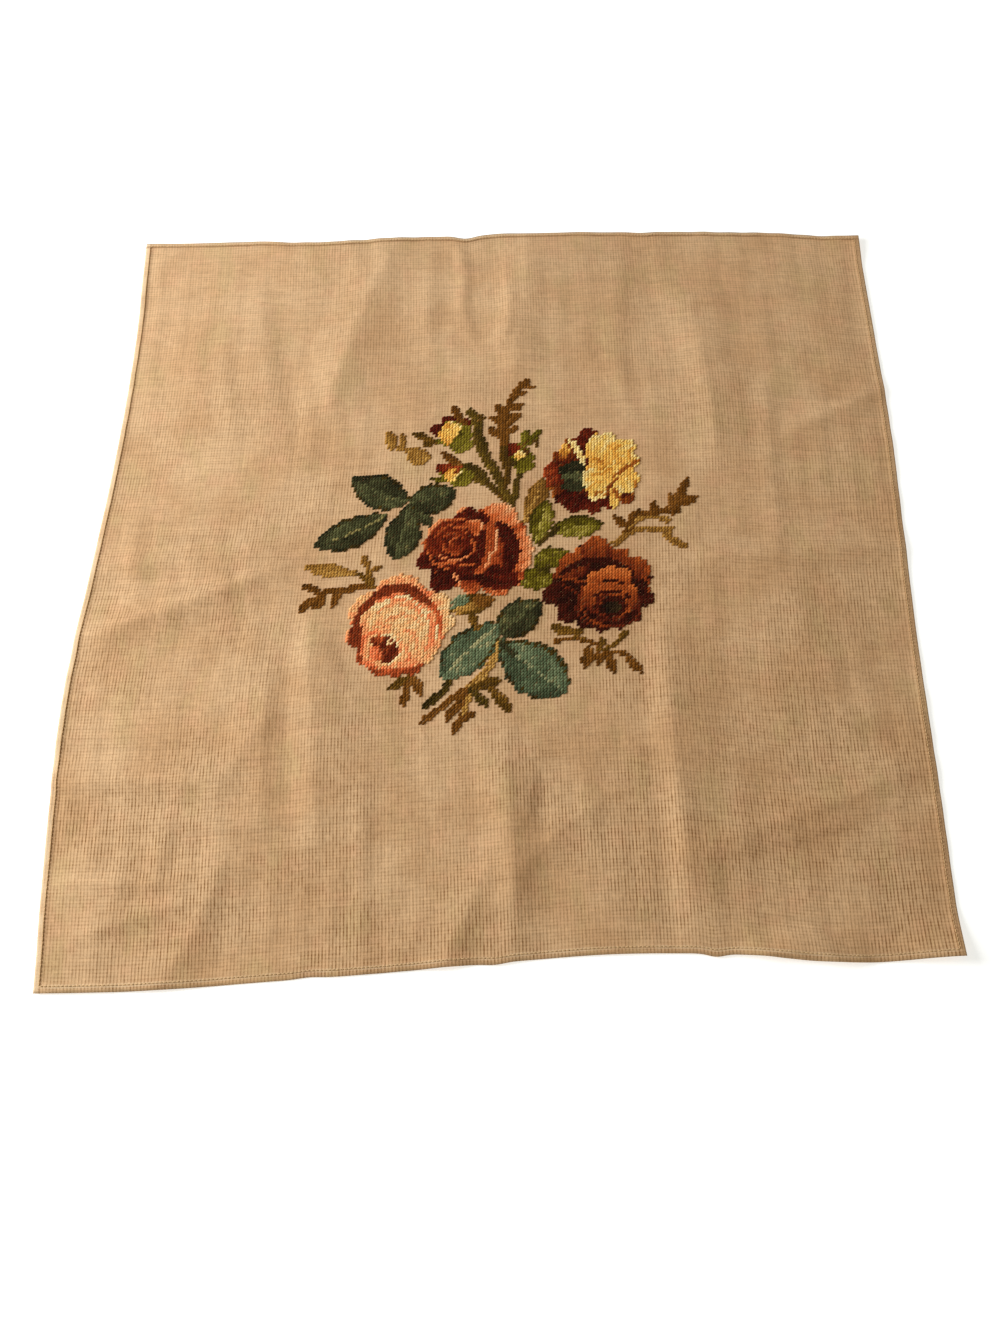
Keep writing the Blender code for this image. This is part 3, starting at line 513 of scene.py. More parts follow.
def object_place(tree):
    return tree.nodes.new("ShaderNodeTexCoord").outputs["Object"]


def map_place(tree, label):
    made = tree.nodes.new("ShaderNodeUVMap")
    made.uv_map = label
    return made.outputs[0]


def new_material(name):
    material = bpy.data.materials.new(name)
    material.use_nodes = True
    return material.node_tree, material.node_tree.nodes["Principled BSDF"], material


def set_inputs(shader, settings):
    for label, value in settings.items():
        shader.inputs[label].default_value = value


THREAD_PALE = (225, 188, 144)
THREAD_TAN = (213, 172, 127)
THREAD_PINK = (224, 178, 136)
THREAD_GREY = (208, 178, 128)
# Painted shade in the gaps and holes between the thread pairs
GAP_PAINTED_SHADE = (143, 101, 57)
# Painted light and shade on the hem: light on its raised fold, shadow below its step, shade on its outer
# rim
HEM_PAINTED_LIGHT = (236, 212, 175)
HEM_PAINTED_SHADOW = (136, 90, 52)
HEM_PAINTED_SHADE = (142, 118, 82)

# Blotches of colour in the cloth: the noise's scale and detail, and where on it they begin and end, then
# the two values that they run between, where those aren't 0 and 1
TANNER = (16.0, 4.0, 0.36, 0.66)
PINKER = (45.0, 3.0, 0.50, 0.72)
GREYER = (24.0, 3.0, 0.52, 0.70)
GREY_STRETCH = (1.4, 0.8)
BLOTCH_SHARE = 0.55
THREAD_TONE = 0.50  # how far single threads differ in tone
STREAKS = (1.0, 2.0, 0.30, 0.70, -0.035, 0.035)  # how far whole runs of threads do
STREAK_SCALE = (150.0, 5.0)  # across the threads and along them
FUZZ_FINENESS = 1800.0
FUZZ_TONE = 0.25
FUZZ_RELIEF = 0.2
WEAVE_RELIEF = (0.0004, 0.42)  # how deep it looks, and how strongly

# How strongly the painted shade shows in the gaps, as the weave is more or less open: the gaps both ways,
# broad patches, and at the near edge and the far one
WARP_GAPS = (0.8, 3.0, 0.32, 0.68, 0.22, 0.64)
WEFT_GAPS = (0.8, 2.0, 0.38, 0.65, 0.04, 0.22)
GAP_RUNS = (90.0, 60.0)  # how often they change along a thread
OPEN_PATCHES = (11.0, 2.0, 0.38, 0.62, 0.55, 1.0)
NEAR_FAR_OPEN = (1.35, 0.66)
# The holes where the gaps cross get more painted shade
HOLE_SHADE_SHARE = 0.05  # how much darker the holes between the pairs are
COTTON = {"Roughness": 0.93, "Specular IOR Level": 0.15, "Sheen Weight": 0.12, "Sheen Roughness": 0.6}

# Painted light and shade along the raised hem: bands from one edge inwards, each with its start, end and
# strength
HEM_PAINTED_BANDS = (
    ("Painted fold light", "left", 0.0002, 0.0040, 0.70),
    ("Painted fold light", "near", 0.0030, 0.0056, 0.45),
    ("Painted fold light", "right", 0.0008, 0.0034, 0.15),
    ("Painted fold light", "far", 0.0016, 0.0034, 0.35),
    ("Painted step shadow", "left", 0.0045, 0.0057, 0.25),
    ("Painted step shadow", "right", 0.0038, 0.0052, 0.35),
    ("Painted step shadow", "near", 0.0060, 0.0070, 0.15),
    ("Painted step shadow", "far", 0.0036, 0.0060, 0.55),
    ("Painted rim shade", "right", -0.0010, 0.0010, 0.45),
    ("Painted rim shade", "near", -0.0010, 0.0018, 0.35),
    ("Painted rim shade", "far", -0.0010, 0.0015, 0.80),
)
PAINTED_BAND_BLUR = 0.0005
PAINTED_BAND_PATCHES = (40.0, 3.0, 0.35, 0.62, 0.35, 1.0)


def make_hem_shading_group():
    """The bands of painted light and shade along the hem, each kind the strongest of its bands, uneven
    along the edge.
    """
    kinds = ("Painted fold light", "Painted step shadow", "Painted rim shade")
    group, given, result = new_group(
        "Hem painted light and shade",
        (("Threads", "NodeSocketVector", None), ("Place", "NodeSocketVector", None)),
        kinds,
    )
    across, out, _ = axes(given["Threads"])
    inset = {
        "left": times(across, SIDE),
        "right": times(minus(1.0, across), SIDE),
        "near": times(out, SIDE),
        "far": times(minus(1.0, out), SIDE),
    }
    patchy = blotches(given["Place"], *PAINTED_BAND_PATCHES)
    for kind in kinds:
        strongest = 0.0
        for name, edge, start, end, strength in HEM_PAINTED_BANDS:
            if name == kind:
                rise = ramp(inset[edge], start - PAINTED_BAND_BLUR, start + PAINTED_BAND_BLUR)
                fall = ramp(inset[edge], end - PAINTED_BAND_BLUR, end + PAINTED_BAND_BLUR, strength, 0.0)
                strongest = calc("MAXIMUM", strongest, times(rise, fall))
        feed(result[kind], times(strongest, patchy))
    return group


fibre = make_fibre_group()
weave = make_weave_group()
hem_shading = make_hem_shading_group()


def make_canvas_material():
    """Cotton threads in uneven tans and pinks, with painted shade in the gaps between the pairs and painted
    light and shade along the hem.
    """
    tree, shader, material = new_material("double-thread canvas")
    threads = map_place(tree, "threads")
    place = object_place(tree)
    woven = place_group(weave, Mesh=stretched(threads, MESHES, MESHES))
    fuzz = place_group(fibre, Place=place, Fineness=FUZZ_FINENESS)
    colour = mixed(blotches(place, *TANNER), paint(THREAD_PALE), paint(THREAD_TAN))
    colour = mixed(times(blotches(place, *PINKER), BLOTCH_SHARE), colour, paint(THREAD_PINK))
    greyer = blotches(stretched(place, *GREY_STRETCH), *GREYER)
    colour = mixed(times(greyer, BLOTCH_SHARE), colour, paint(THREAD_GREY))
    tone = times(woven["Thread tone"], THREAD_TONE)
    for scale in (STREAK_SCALE, STREAK_SCALE[::-1]):
        tone = plus(tone, blotches(stretched(threads, *scale), *STREAKS))
    tone = plus(tone, times(fuzz["Tone"], FUZZ_TONE))
    colour = toned(colour, plus(tone, 1.0))
    open_weave = blotches(place, *OPEN_PATCHES)
    open_weave = times(open_weave, ramp(axes(threads)[1], 0.0, 1.0, *NEAR_FAR_OPEN))
    warp_open = times(blotches(stretched(threads, MESHES, GAP_RUNS[0]), *WARP_GAPS), open_weave)
    weft_open = blotches(stretched(threads, GAP_RUNS[1], MESHES), *WEFT_GAPS)
    # Painted shade in the gaps between the pairs, deepest in the holes
    gap = plus(times(woven["Warp gap"], warp_open), times(woven["Weft gap"], weft_open))
    hole = times(woven["Warp gap"], woven["Weft gap"])
    gap = calc("MINIMUM", plus(gap, times(hole, HOLE_SHADE_SHARE)), 1.0)
    colour = mixed(gap, colour, paint(GAP_PAINTED_SHADE))
    # Painted light and shade along the hem: light on the raised fold, shadow below the step, shade on the
    # rim
    painted_hem = place_group(hem_shading, Threads=threads, Place=place)
    for kind, shade in (("Painted fold light", HEM_PAINTED_LIGHT), ("Painted step shadow", HEM_PAINTED_SHADOW), ("Painted rim shade", HEM_PAINTED_SHADE)):
        colour = mixed(painted_hem[kind], colour, paint(shade))
    feed(shader.inputs["Base Color"], colour)
    height = plus(woven["Height"], times(fuzz["Fuzz"], FUZZ_RELIEF))
    feed(shader.inputs["Normal"], bump(height, *WEAVE_RELIEF))
    set_inputs(shader, COTTON)
    return material


canvas = make_cloth()
canvas.data.materials.append(make_canvas_material())
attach(canvas, "root")
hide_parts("canvas")


# The hem's stitching
# One row of machine stitches round the panel in pale cotton, through both layers of the turned hem.
# Each stitch is a short plump float that dips into its needle hole at both ends.
SEAM_INSET = 0.0046
SEAM_STITCH = 0.0030
SEAM_THREAD = 0.00042  # half as thick as the float is wide
SEAM_FLATTER = 0.8
SEAM_SEED = 11
SEAM_STRAY = 0.00006
SEAM_UNEVEN = (0.9, 1.1)
SEAM_SIDES = 6
SEAM_HEIGHT = HEM_HEIGHTS[4]  # the top of the hem, which the thread lies on
SEAM_COLOUR = (218, 184, 136)

# A stitch from end to end: shares of its length, how far it stands up, and how full it is there
STITCH_PLACES = np.array((0.02, 0.22, 0.5, 0.78, 0.98))
STITCH_ARCH = np.array((0.0, 0.75, 1.0, 0.75, 0.0))
STITCH_FULLNESS = np.array((0.45, 0.86, 1.0, 0.86, 0.45))


def make_floats(name, starts, ends, half_wide, half_high, arch, sides):
    """Closed threads from starts to ends, joined in one mesh, with a map that runs along and round each."""
    count = len(starts)
    rings = len(STITCH_PLACES)
    way = ends - starts
    side = np.stack([way[:, 1], -way[:, 0], np.zeros(count)], axis=1)
    side = side / np.linalg.norm(side, axis=1)[:, None]
    round_turn = 2.0 * math.pi * np.arange(sides) / sides
    line = starts[:, None, :] + way[:, None, :] * STITCH_PLACES[None, :, None]
    line[..., 2] += arch[:, None] * STITCH_ARCH[None, :]
    wide = (half_wide[:, None] * STITCH_FULLNESS)[..., None] * np.cos(round_turn)
    high = (half_high[:, None] * STITCH_FULLNESS)[..., None] * np.sin(round_turn)
    points = line[:, :, None, :] + wide[..., None] * side[:, None, None, :]
    points[..., 2] += high
    number = np.arange(count * rings * sides).reshape(count, rings, sides)
    after = np.roll(number, -1, axis=2)
    walls = np.stack([number[:, :-1], number[:, 1:], after[:, 1:], after[:, :-1]], axis=-1)
    caps = np.concatenate([number[:, 0], number[:, -1, ::-1]])
    piece = new_piece(name, points.reshape(-1, 3), walls.reshape(-1, 4).tolist() + caps.tolist())
    strand = np.empty((count, rings, sides + 1, 2))
    strand[..., 0] = (np.linalg.norm(way, axis=1)[:, None] * STITCH_PLACES)[..., None]
    strand[..., 1] = np.arange(sides + 1) / sides
    wall_map = (strand[:, :-1, :-1], strand[:, 1:, :-1], strand[:, 1:, 1:], strand[:, :-1, 1:])
    cap_maps = (strand[:, 0, :-1], strand[:, -1, :-1][:, ::-1])
    corners = [part.reshape(-1, 2) for part in (np.stack(wall_map, axis=-2), *cap_maps)]
    map_corners(piece, "strand", np.concatenate(corners))
    return piece


GROOVE_WIDTH = 0.45


def make_ply_group():
    """Plies twisted together: grooves that wind round the strand, with a mask of them for painted shade."""
    group, given, result = new_group(
        "Plied strand",
        (
            ("Strand", "NodeSocketVector", None),
            ("Plies", "NodeSocketFloat", 3.0),
            ("Twist length", "NodeSocketFloat", 0.004),
        ),
        ("Height", "Groove"),
    )
    run, around, _ = axes(given["Strand"])
    phase = times(plus(calc("DIVIDE", run, given["Twist length"]), around), given["Plies"])
    wave = calc("ABSOLUTE", calc("SINE", times(phase, math.pi)))
    feed(result["Height"], wave)
    feed(result["Groove"], ramp(wave, 0.0, GROOVE_WIDTH, 1.0, 0.0))
    return group


ply = make_ply_group()
FLUFF_TONE = 0.5
FLUFF_RELIEF = 0.5
THREAD_RELIEF = (0.00015, 0.6)


def make_thread_material(name, colour, twist_length, grooves, plies, fineness, fluff):
    """Plied thread of one colour, or of the colours that the piece carries stitch by stitch, with painted
    shade in the grooves between its plies.
    """
    tree, shader, material = new_material(name)
    twisted = place_group(ply, Strand=map_place(tree, "strand"), Plies=plies, Twist_length=twist_length)
    fuzz = place_group(fibre, Place=object_place(tree), Fineness=fineness)
    tone = plus(1.0, times(fuzz["Tone"], FLUFF_TONE))
    # Painted shade in the grooves between the plies
    tone = minus(tone, times(twisted["Groove"], grooves))
    if colour is None:
        dye = tree.nodes.new("ShaderNodeAttribute")
        dye.attribute_name = "yarn"
        colour = dye.outputs["Color"]
    else:
        colour = paint(colour)
    feed(shader.inputs["Base Color"], toned(colour, tone))
    height = plus(twisted["Height"], times(fuzz["Fuzz"], FLUFF_RELIEF))
    feed(shader.inputs["Normal"], bump(height, *THREAD_RELIEF))
    thread = {"Roughness": 0.9, "Specular IOR Level": 0.08, "Sheen Weight": fluff, "Sheen Roughness": 0.5}
    set_inputs(shader, thread)
    return material


def make_seam():
    """The stitches side by side round the panel, each a little off the line."""
    rng = np.random.default_rng(SEAM_SEED)
    inset = SEAM_INSET / SIDE
    count = int((SIDE - 2 * SEAM_INSET) / SEAM_STITCH)
    share = np.linspace(inset, 1.0 - inset, count + 1)
    low = np.full(count + 1, inset)
    sides = ((share, low), (1.0 - low, share), (share[::-1], 1.0 - low), (low, share[::-1]))
    rows = [in_frame(across, out, SEAM_HEIGHT) for across, out in sides]
    starts = np.concatenate([row[:-1] for row in rows])
    ends = np.concatenate([row[1:] for row in rows])
    starts[:, :2] += rng.normal(0.0, SEAM_STRAY, (len(starts), 2))
    half = SEAM_THREAD * rng.uniform(*SEAM_UNEVEN, len(starts))
    high = SEAM_FLATTER * half
    return make_floats("hem_stitching", starts, ends, half, high, high, SEAM_SIDES)


seam = make_seam()
seam_cotton = make_thread_material(
    "sewing cotton", SEAM_COLOUR, twist_length=0.0012, grooves=0.25, plies=2.0, fineness=5000.0, fluff=0.1
)
seam.data.materials.append(seam_cotton)
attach(seam, "root")


# The wool stitches
# Tapestry wool in tent stitch: each stitch slants over one crossing of the canvas, from the hole at its
# near left to the hole at its far right. A crossing is worked where a motif of the frame lies over it.
WOOL_HALF_WIDE = 0.00104
WOOL_HALF_HIGH = 0.00058
WOOL_ARCH = 0.00060
WOOL_SIDES = 8
STITCH_OVERREACH = 0.06  # of a mesh, at each end
STITCH_STRAY = 0.07
NEAR_ENOUGH = 0.0002  # a crossing this close beside a motif is worked too
DROP_FROM = 0.05

# How uneven the stitches are, from least to most: wide, high, arched, and dyed
UNEVEN = ((0.86, 1.10), (0.88, 1.12), (0.85, 1.15), (0.93, 1.07))

# Wools by family, each from its darkest to its palest
YARNS = {
    "rust": (
        (60, 14, 5), (96, 26, 10), (136, 48, 18), (174, 76, 32), (216, 110, 54), (244, 156, 98),
        (252, 196, 142),
    ),
    "peach": (
        (104, 34, 12), (158, 68, 30), (218, 104, 54), (255, 142, 88), (255, 172, 112), (254, 202, 138),
        (255, 226, 170),
    ),
    "maroon": ((46, 13, 5), (78, 24, 10), (112, 40, 16), (150, 66, 24), (188, 92, 36), (218, 122, 56)),
    "gold": (
        (84, 26, 10), (124, 52, 14), (176, 100, 34), (222, 154, 56), (252, 192, 86), (255, 212, 110),
        (255, 231, 158),
    ),
    "dark_teal": ((38, 37, 19), (56, 56, 32), (73, 74, 44), (98, 100, 62), (146, 136, 82)),
    "teal": ((54, 60, 40), (74, 86, 60), (96, 111, 80), (122, 136, 100), (172, 168, 122)),
    "green": ((66, 56, 7), (90, 78, 12), (114, 102, 20), (146, 132, 42), (182, 166, 78)),
    "olive": ((74, 50, 10), (100, 70, 16), (126, 88, 26), (158, 114, 48)),
    "tan": ((124, 84, 30), (156, 110, 44), (184, 137, 62), (208, 162, 84)),
    "brown": ((86, 52, 10), (116, 71, 17), (138, 88, 30), (168, 114, 52)),
    "dark_green": ((56, 44, 10), (82, 63, 15), (108, 83, 23), (138, 110, 36)),
    "shade": ((32, 20, 12), (54, 38, 18), (84, 66, 30)),
}


def worked_crossings():
    """For each motif of the frame, the rows and columns of the crossings under it."""
    names = sorted(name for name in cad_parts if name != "canvas")
    corners = []
    faces = []
    owners = []
    for name in names:
        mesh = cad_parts[name].data
        faces.extend([corner + len(corners) for corner in face.vertices] for face in mesh.polygons)
        owners.extend([name] * len(mesh.polygons))
        corners.extend(tuple(vertex.co) for vertex in mesh.vertices)
    tree = BVHTree.FromPolygons(corners, faces)
    share = (np.arange(MESHES) + 0.5) / MESHES
    places = in_frame(*np.meshgrid(share, share), CLOTH_THICKNESS + WOOL_HALF_HIGH)
    low = np.min(corners, axis=0)[:2]
    high = np.max(corners, axis=0)[:2]
    inside = np.all((places[..., :2] > low) & (places[..., :2] < high), axis=-1)
    down = Vector((0.0, 0.0, -1.0))
    found = {name: [] for name in names}
    for row, column in np.argwhere(inside):
        x, y, z = places[row, column]
        number = tree.ray_cast(Vector((x, y, DROP_FROM)), down)[2]
        if number is None:
            spot, _, nearest, _ = tree.find_nearest(Vector((x, y, z)), 2.0 * NEAR_ENOUGH)
            if spot is not None and math.hypot(spot.x - x, spot.y - y) < NEAR_ENOUGH:
                number = nearest
        if number is not None:
            found[owners[number]].append((row, column))
    return {name: np.array(cells, dtype=float) for name, cells in found.items()}


worked = worked_crossings()
wool = make_thread_material(
    "tapestry wool", None, twist_length=0.0042, grooves=0.30, plies=3.0, fineness=2600.0, fluff=0.02
)


def dyed(family, tone):
    """The wool of a family nearest to a tone from 0, darkest, to 100, palest. One more wool lies halfway
    between each two that are listed."""
    shades = linear(YARNS[family])
    place = np.clip(np.rint(0.02 * tone * (len(shades) - 1)) / 2.0, 0.0, len(shades) - 1.0)
    return 0.5 * (shades[np.floor(place).astype(int)] + shades[np.ceil(place).astype(int)])


def crossing_places(name):
    """Where a motif's crossings lie on the cloth's plan, in millimetres."""
    out, across = (worked[name].T + 0.5) / MESHES
    x, y = laid_out(across, out)
    return MM * x, MM * y


def work_motif(name, colours, rng):
    """Works one motif: a stitch over each of its crossings, in that crossing's colour."""
    cells = worked[name]
    count = len(cells)
    low = cells - STITCH_OVERREACH + rng.normal(0.0, STITCH_STRAY, (count, 2))
    high = cells + 1.0 + STITCH_OVERREACH + rng.normal(0.0, STITCH_STRAY, (count, 2))
    low, high = low.T / MESHES, high.T / MESHES
    starts = in_frame(low[1], low[0], CLOTH_THICKNESS)
    ends = in_frame(high[1], high[0], CLOTH_THICKNESS)
    wide, tall, arch, dye = (rng.uniform(*limits, count) for limits in UNEVEN)
    sizes = (WOOL_HALF_WIDE * wide, WOOL_HALF_HIGH * tall, WOOL_ARCH * arch)
    piece = make_floats(name + "_wool", starts, ends, *sizes, WOOL_SIDES)
    colours = np.concatenate([colours * dye[:, None], np.ones((count, 1))], axis=1).astype(np.float32)
    yarn = piece.data.color_attributes.new("yarn", "FLOAT_COLOR", "POINT")
    yarn.data.foreach_set("color", np.repeat(colours, len(STITCH_PLACES) * WOOL_SIDES, axis=0).reshape(-1))
    piece.data.materials.append(wool)
    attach(piece, "root")
    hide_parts(name)


# Shoots
# The stems, small leaves and sepals of the spray: a twig is all shoots, and a bud or leaf may carry a few.
# Each is worked in one wool, a little lighter on its left.
SHOOT_STEPS = 8
SHOOT_SIDE = 10.0
SHOOT_WAVE = (10.0, 5.0, 0.04)  # strength; turns by length and width
SHOOT_STRAY = 9.0

# By motif and wool: where a shoot starts, the place that it bends through, if it does, and where it ends,
# then its width, all in millimetres on the cloth's plan, and its tone
SHOOTS = {
    "sprig_far": {
        "brown": (
            ((8, 102), (8, 126), (13, 149), 6.2, 40), ((6, 103), (9, 143), 11.2, 45),
            ((18, 158), (29, 169), 8.2, 40), ((21, 161), (34, 161), 3.9, 55),
            ((11, 145), (22, 163), 7.3, 40), ((13, 151), (26, 156), 5.2, 45),
            ((8, 136), (24, 143), 6.9, 50), ((8, 129), (-1, 145), 6.9, 40),
            ((9, 122), (-6, 132), 6.9, 45), ((8, 124), (21, 133), 6.9, 50),
            ((8, 109), (-7, 120), 7.7, 40), ((7, 113), (19, 120), 6, 45),
        ),
    },
    "sprig_far_left": {
        "tan": (
            ((-64, 95), (-77, 99), (-89, 103), 4.8, 50), ((-88, 96), (-92, 119), 9.9, 50),
            ((-79, 97), (-81, 115), 6.5, 45), ((-54, 90), (-77, 93), 17.2, 60),
        ),
    },
    "sprig_left": {
        "brown": (
            ((-100, -30), (-119, -34), (-142, -38), 5, 45), ((-126, -35), (-132, -50), 6.9, 50),
            ((-136, -36), (-147, -52), 9, 40), ((-139, -38), (-158, -30), 6, 30),
            ((-144, -40), (-159, -55), 6.9, 35),
        ),
        "olive": (
            ((-101, -31), (-108, -22), (-120, -19), 3.8, 45),
            ((-99, -34), (-101, -26), (-104, -16), 5, 70),
        ),
        "tan": (
            ((-115, -20), (-157, -13), 12.5, 60), ((-102, -19), (-109, -2), 5.6, 30),
            ((-102, -18), (-92, -12), 4.7, 20),
        ),
    },
    "sprig_right": {
        "tan": (
            ((96, 4), (104, 10), (110, 20), 4.4, 25), ((106, 12), (127, 19), (144, 11), 4.4, 35),
            ((110, 18), (124, 30), (144, 25), 4.6, 50), ((136, 13), (159, -1), 6.5, 35),
            ((134, 16), (148, 18), 5.2, 45),
        ),
        "brown": (
            ((113, 33), (132, 34), (153, 41), 3.3, 40), ((110, 17), (98, 32), 6, 35),
            ((108, 17), (119, 37), 8.2, 30), ((131, 31), (132, 46), 6, 35),
            ((136, 36), (155, 35), 8.2, 25), ((146, 34), (145, 53), 6, 70),
            ((149, 41), (161, 66), 7.7, 40), ((149, 42), (169, 48), 9, 45),
        ),
    },
    "sprig_near_right": {
        "brown": (
            ((48, -82), (71, -81), (92, -94), 3.3, 35), ((89, -93), (99, -92), (107, -98), 4.4, 35),
            ((75, -84), (71, -106), 8.6, 35), ((81, -87), (82, -105), 6, 35),
            ((87, -91), (95, -110), 7.7, 30), ((101, -93), (117, -110), 7.3, 45),
        ),
        "olive": (
            ((81, -89), (94, -86), (103, -77), 2.9, 40), ((62, -81), (69, -70), 6, 40),
            ((69, -76), (43, -69), 8.2, 60), ((97, -81), (107, -73), 5.2, 45),
            ((85, -90), (84, -77), 4.7, 55),
        ),
    },
    "sprig_near": {
        "brown": (
            ((-66, -106), (-67, -112), (-69, -120), 4.6, 40), ((-68, -115), (-71, -138), 5.6, 40),
            ((-65, -108), (-57, -127), 8.2, 60),
        ),
        "olive": (((-67, -111), (-83, -122), 6.5, 40),),
    },
    "stem_buds": {
        "dark_green": (
            ((15, 40), (16.5, 58), (20.5, 74), 4.7, 45), ((14, 41), (5, 64), (-4, 82), 6.8, 50),
            ((0, 76), (-13, 100), (-16, 129), 7.5, 55), ((-6, 84), (-17, 118), 10, 45),
            ((-16.5, 121), (-24, 142), 8, 60), ((-4, 60), (-27, 85), 13.5, 45),
        ),
        "olive": (
            ((7.5, 60), (10.5, 78), (7.8, 104), 5.6, 20), ((12.5, 41), (2.5, 54), (-8, 65.5), 4.1, 30),
            ((10, 72), (6.8, 108), 10, 25), ((-17, 124), (-10.5, 134), 6.5, 45),
        ),
    },
    "stalks_near": {
        "tan": (
            ((2, -80), (-3, -102), (-19, -119), 5.9, 80),
            ((-20, -122), (-21, -134), (-26, -147), 4.4, 70),
        ),
        "brown": (
            ((-18, -119), (-36, -133), (-50, -145), 4.6, 50),
            ((-18, -117), (-24, -130), (-31, -140), 5.3, 45), ((-45, -140), (-57, -151), 5.6, 50),
            ((-27, -131), (-38, -150), 7.3, 40), ((-30, -149), (-14, -142), 5.6, 35),
            ((-25, -144), (-32, -160), 6, 45),
        ),
        "olive": (
            ((-18, -121), (-11, -121), (-3, -120), 5.3, 35), ((-15, -119), (6, -115), 7.7, 35),
            ((-6, -117), (14, -143), 8.2, 45),
        ),
        "dark_green": (((-18, -122), (-3, -138), 7.3, 40),),
    },
    "stalk_teal": {
        "dark_green": (
            ((-35, -110), (-37, -119), (-43, -127), 5, 20), ((-39, -122), (-55, -138), 7.7, 15),
        ),
    },
    "bud_high": {
        "green": (((-34, 100), (-46, 106), (-58, 107), 4.1, 40),),
        "brown": (((-28, 126), (-39, 144), 6.5, 35),),
        "olive": (
            ((-52, 106), (-73, 116), 6.9, 45), ((-48, 107), (-64, 103), 5.2, 35),
        ),
    },
    "bud_right": {
        "olive": (((23, 101), (32, 107), (36, 101), 4, 40),),
        "green": (
            ((23, 96), (27, 118), 8.2, 50), ((24, 99), (39, 118), 6.5, 40),
        ),
    },
    "leaf_green_2": {
        "dark_green": (((35, 5), (43, 12), (51, 20), 4.4, 30),),
    },
    "leaf_teal_7": {
        "dark_teal": (((2, -72), (6, -82), (15, -92), 5.3, 40),),
    },
    "bud_left": {
        "brown": (((-27, 81), (-47, 96), 6.9, 40),),
        "green": (((-36, 67), (-55, 70), 5.2, 30),),
    },
    "leaf_teal_4": {
        "dark_teal": (((-70, 43), (-51, 23), 10.3, 50),),
    },
    "leaf_green_5": {
        "teal": (((-41, -51), (-26, -44), 10, 75),),
        "tan": (((-30, -54), (-16, -50), 6, 70),),
        "brown": (((-12, -45), (2, -48), 11, 50),),
    },
    "leaf_teal_5": {
        "olive": (((-13, -68), (-21, -56), 6.9, 60),),
    },
}


def colour_shoots(name, x, y, rng):
    """The colour of each stitch by the shoot that it is nearest to, and how far off that shoot it lies,
    from 0 on its midrib to 1 at its edge."""
    colours = np.zeros((len(x), 3))
    nearest = np.full(len(x), np.inf)
    stray = rng.normal(0.0, SHOOT_STRAY, len(x))
    for family, shoots in SHOOTS.get(name, {}).items():
        for *places, width, tone in shoots:
            away, side, share = beside_line(bent_line(places, SHOOT_STEPS), x, y)
            away = away / (0.5 * width)
            wave = SHOOT_WAVE[0] * np.sin(SHOOT_WAVE[1] * share + SHOOT_WAVE[2] * width)
            tones = tone + SHOOT_SIDE * np.sign(side) + wave + stray
            closer = away < nearest
            nearest = np.where(closer, away, nearest)
            colours[closer] = dyed(family, tones[closer])
    return colours, nearest


# Roses and buds
# Full-blown garden roses and three buds, shaded petal by petal from dark hearts to pale lips, then drawn
# over with single lines of wool. What comes later in a flower lies on top.
Petal = namedtuple("Petal", "x y long wide turn base lip family", defaults=(None,))
Line = namedtuple("Line", "start via end width tone family", defaults=(None,))

